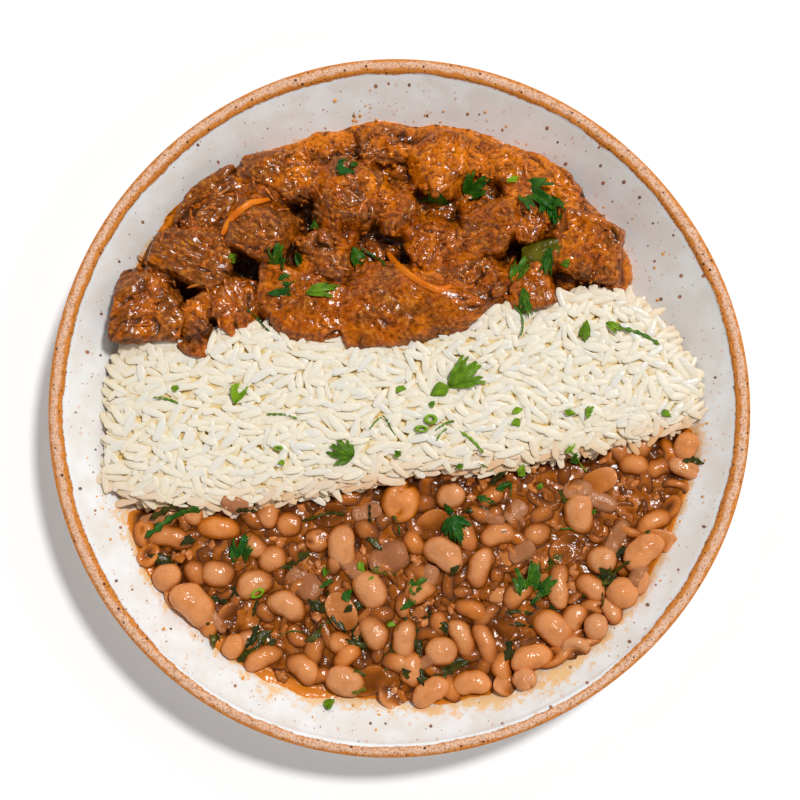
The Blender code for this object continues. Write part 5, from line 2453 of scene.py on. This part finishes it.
@dataclass
class OnionBits:
    """Soft slices of onion among the beans."""

    surface: Field
    seed: int = 5

    def build(self) -> bpy.types.Object:
        """Makes the slices, thin, curved and draped.

        Returns:
            The slices.
        """
        u, v = np.meshgrid(np.linspace(-0.5, 0.5, 9), np.linspace(-0.5, 0.5, 5), indexing="ij")
        pinch = 1 - 0.25 * np.abs(2 * u) ** 3
        rise = 0.1 * (1 - (2 * v) ** 2) + 0.04 * np.sin(6 * u)
        points = np.stack([u * (1 - 0.1 * (2 * v) ** 2), v * pinch, rise], axis=2).reshape(-1, 3)
        faces = grid_faces(np.arange(u.size).reshape(u.shape))
        places = Places()
        for x, y, long, wide, turn, tone in ONION_PLACES:
            size = (long * MM, wide * MM, wide * MM)
            places.add((x * MM, y * MM, 0), (0, 0, math.radians(turn)), size, 0, tone)
        shape = thickened("onion_slice", points, faces, 0.07)
        uneven = {"variation": 0.05, "dent_depth": 1.0 * MM, "dent_size": 4 * MM}
        piece = Scatter("onion_slices", [shape], ONION.material(), seed=self.seed, **uneven).build(places)
        rest = draped(piece, self.surface, 1.2 * MM, 1.2, -0.1 * MM)
        self.surface.cover(rest)
        return piece


@dataclass
class OilDrops:
    """Drops of orange oil on the glaze beside the sauces."""

    servings: Servings
    count: int = 170
    tries: int = 20000
    farthest: float = 104 * MM
    gap: float = 1.5 * MM
    largest: float = 1.6 * MM
    seed: int = 97

    def build(self) -> bpy.types.Object:
        """Makes the drops as low domes.

        Returns:
            The drops.
        """
        draw = np.random.default_rng(self.seed)
        plate = self.servings.plate
        places = Places()
        regions = (self.servings.stew, self.servings.beans)
        for _ in range(self.tries):
            if len(places.rows) >= self.count:
                break
            x, y = draw.uniform(-104, 104, 2) * MM
            radius = math.hypot(x, y)
            away = -max(region.inset(x, y) for region in regions)
            size = draw.exponential(0.45) * MM + 0.25 * MM
            if radius > self.farthest or away < self.gap or away > draw.exponential(5.0) * MM + self.gap:
                continue
            if self.servings.rice.inset(x, y) > -2 * MM or size > self.largest:
                continue
            height = plate.inner(x, y)
            slope = (plate.inner(radius + MM, 0.0) - height) / MM
            turn = (0.0, -math.atan(slope), math.atan2(y, x))
            wide = size * draw.uniform(0.6, 1)
            places.add((x, y, height), turn, (size, wide, size * 0.3), 0, draw.random())
        angles = (math.pi * k / 6 for k in range(7))
        ball = [(-0.5 * math.cos(a), 0, 0, 0.5 * math.sin(a), 0.5 * math.sin(a)) for a in angles]
        drop = sausage("drop", ball, around=8)
        piece = Scatter("oil_drops", [drop], OIL_DROPS.material()).build(places)
        LOG.info("oil drops: %d", len(places.rows))
        return piece


# ---------------------------------------------------------------- the studio


@dataclass
class Studio:
    """A pale floor, soft light and a camera that looks almost straight down."""

    floor_half: float = 3.0
    key: float = 2.2
    key_angle: float = 8.0
    key_from: tuple = (0.345, 0.34, 1.0)
    fill: float = 0.74
    overhead: float = 0.1
    cap: tuple[float, float] = (0.6, 0.9)
    elevation: float = 84.5
    distance: float = 0.70
    view_width: float = 0.2556
    sensor: float = 36.0
    shift: tuple[float, float] = (0.0028, 0.0051)
    focus: float = 26 * MM

    def floor(self) -> None:
        """Lays the floor."""
        half = self.floor_half
        points = np.array([(-half, -half, 0), (half, -half, 0), (half, half, 0), (-half, half, 0)])
        floor = make_piece("studio_floor", points, [(0, 1, 2, 3)], PaleFloor().material())

    def light(self) -> None:
        """Sets a soft key at the far right and a fill from the sides that fades out overhead."""
        lamp = bpy.data.lights.new("key", "SUN")
        lamp.energy = self.key
        lamp.angle = math.radians(self.key_angle)
        key = bpy.data.objects.new("key", lamp)
        key.rotation_euler = Vector(self.key_from).to_track_quat("Z", "Y").to_euler()
        bpy.context.scene.collection.objects.link(key)
        world = bpy.data.worlds.new("studio")
        world.use_nodes = True
        nodes = Nodes(world.node_tree)
        place = nodes.node("ShaderNodeTexCoord").outputs["Generated"]
        rise = Wire(nodes, nodes.node("ShaderNodeSeparateXYZ", None, {0: place}).outputs["Z"])
        sky = world.node_tree.nodes["Background"]
        nodes.feed(sky.inputs["Color"], (1.0, 1.0, 1.0))
        nodes.feed(sky.inputs["Strength"], rise.step(*self.cap) * (self.overhead - self.fill) + self.fill)
        bpy.context.scene.world = world

    def camera(self) -> None:
        """Puts the camera on the near side, high above."""
        lens = bpy.data.cameras.new("camera")
        lens.sensor_width = self.sensor
        lens.lens = self.sensor * self.distance / self.view_width
        lens.clip_start, lens.clip_end = 0.01, 20.0
        lens.shift_x, lens.shift_y = self.shift
        angle = math.radians(self.elevation)
        back = Vector((0.0, -math.cos(angle), math.sin(angle)))
        camera = bpy.data.objects.new("camera", lens)
        camera.location = Vector((0, 0, self.focus)) + back * self.distance
        camera.rotation_euler = back.to_track_quat("Z", "Y").to_euler()
        bpy.context.scene.collection.objects.link(camera)
        bpy.context.scene.camera = camera

    def build(self) -> None:
        """Sets the studio up."""
        self.floor()
        self.light()
        self.camera()
        bpy.context.scene.view_settings.view_transform = "Standard"


def main() -> None:
    """Builds every piece, sets the studio up and notes the sizes."""
    logging.basicConfig(level=logging.INFO, format="%(name)s: %(message)s")
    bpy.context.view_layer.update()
    plate = Plate()
    servings = Servings(plate)
    surface = Field()
    x, y = surface.grid()
    surface.heights = plate.inner(x, y)
    pieces = [plate.build(servings)]
    pieces += Stew(servings, surface).build()
    pieces += RiceHeap(servings, surface).build()
    pieces += Beans(servings, surface).build()
    pieces.append(OnionBits(surface).build())
    pieces += Greens(surface).build()
    pieces.append(OilDrops(servings).build())
    for piece in pieces:
        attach(piece, BODY)
        LOG.info("%s: %d faces", piece.name, len(piece.data.polygons))
    Studio().build()


if __name__ == "__main__":
    main()
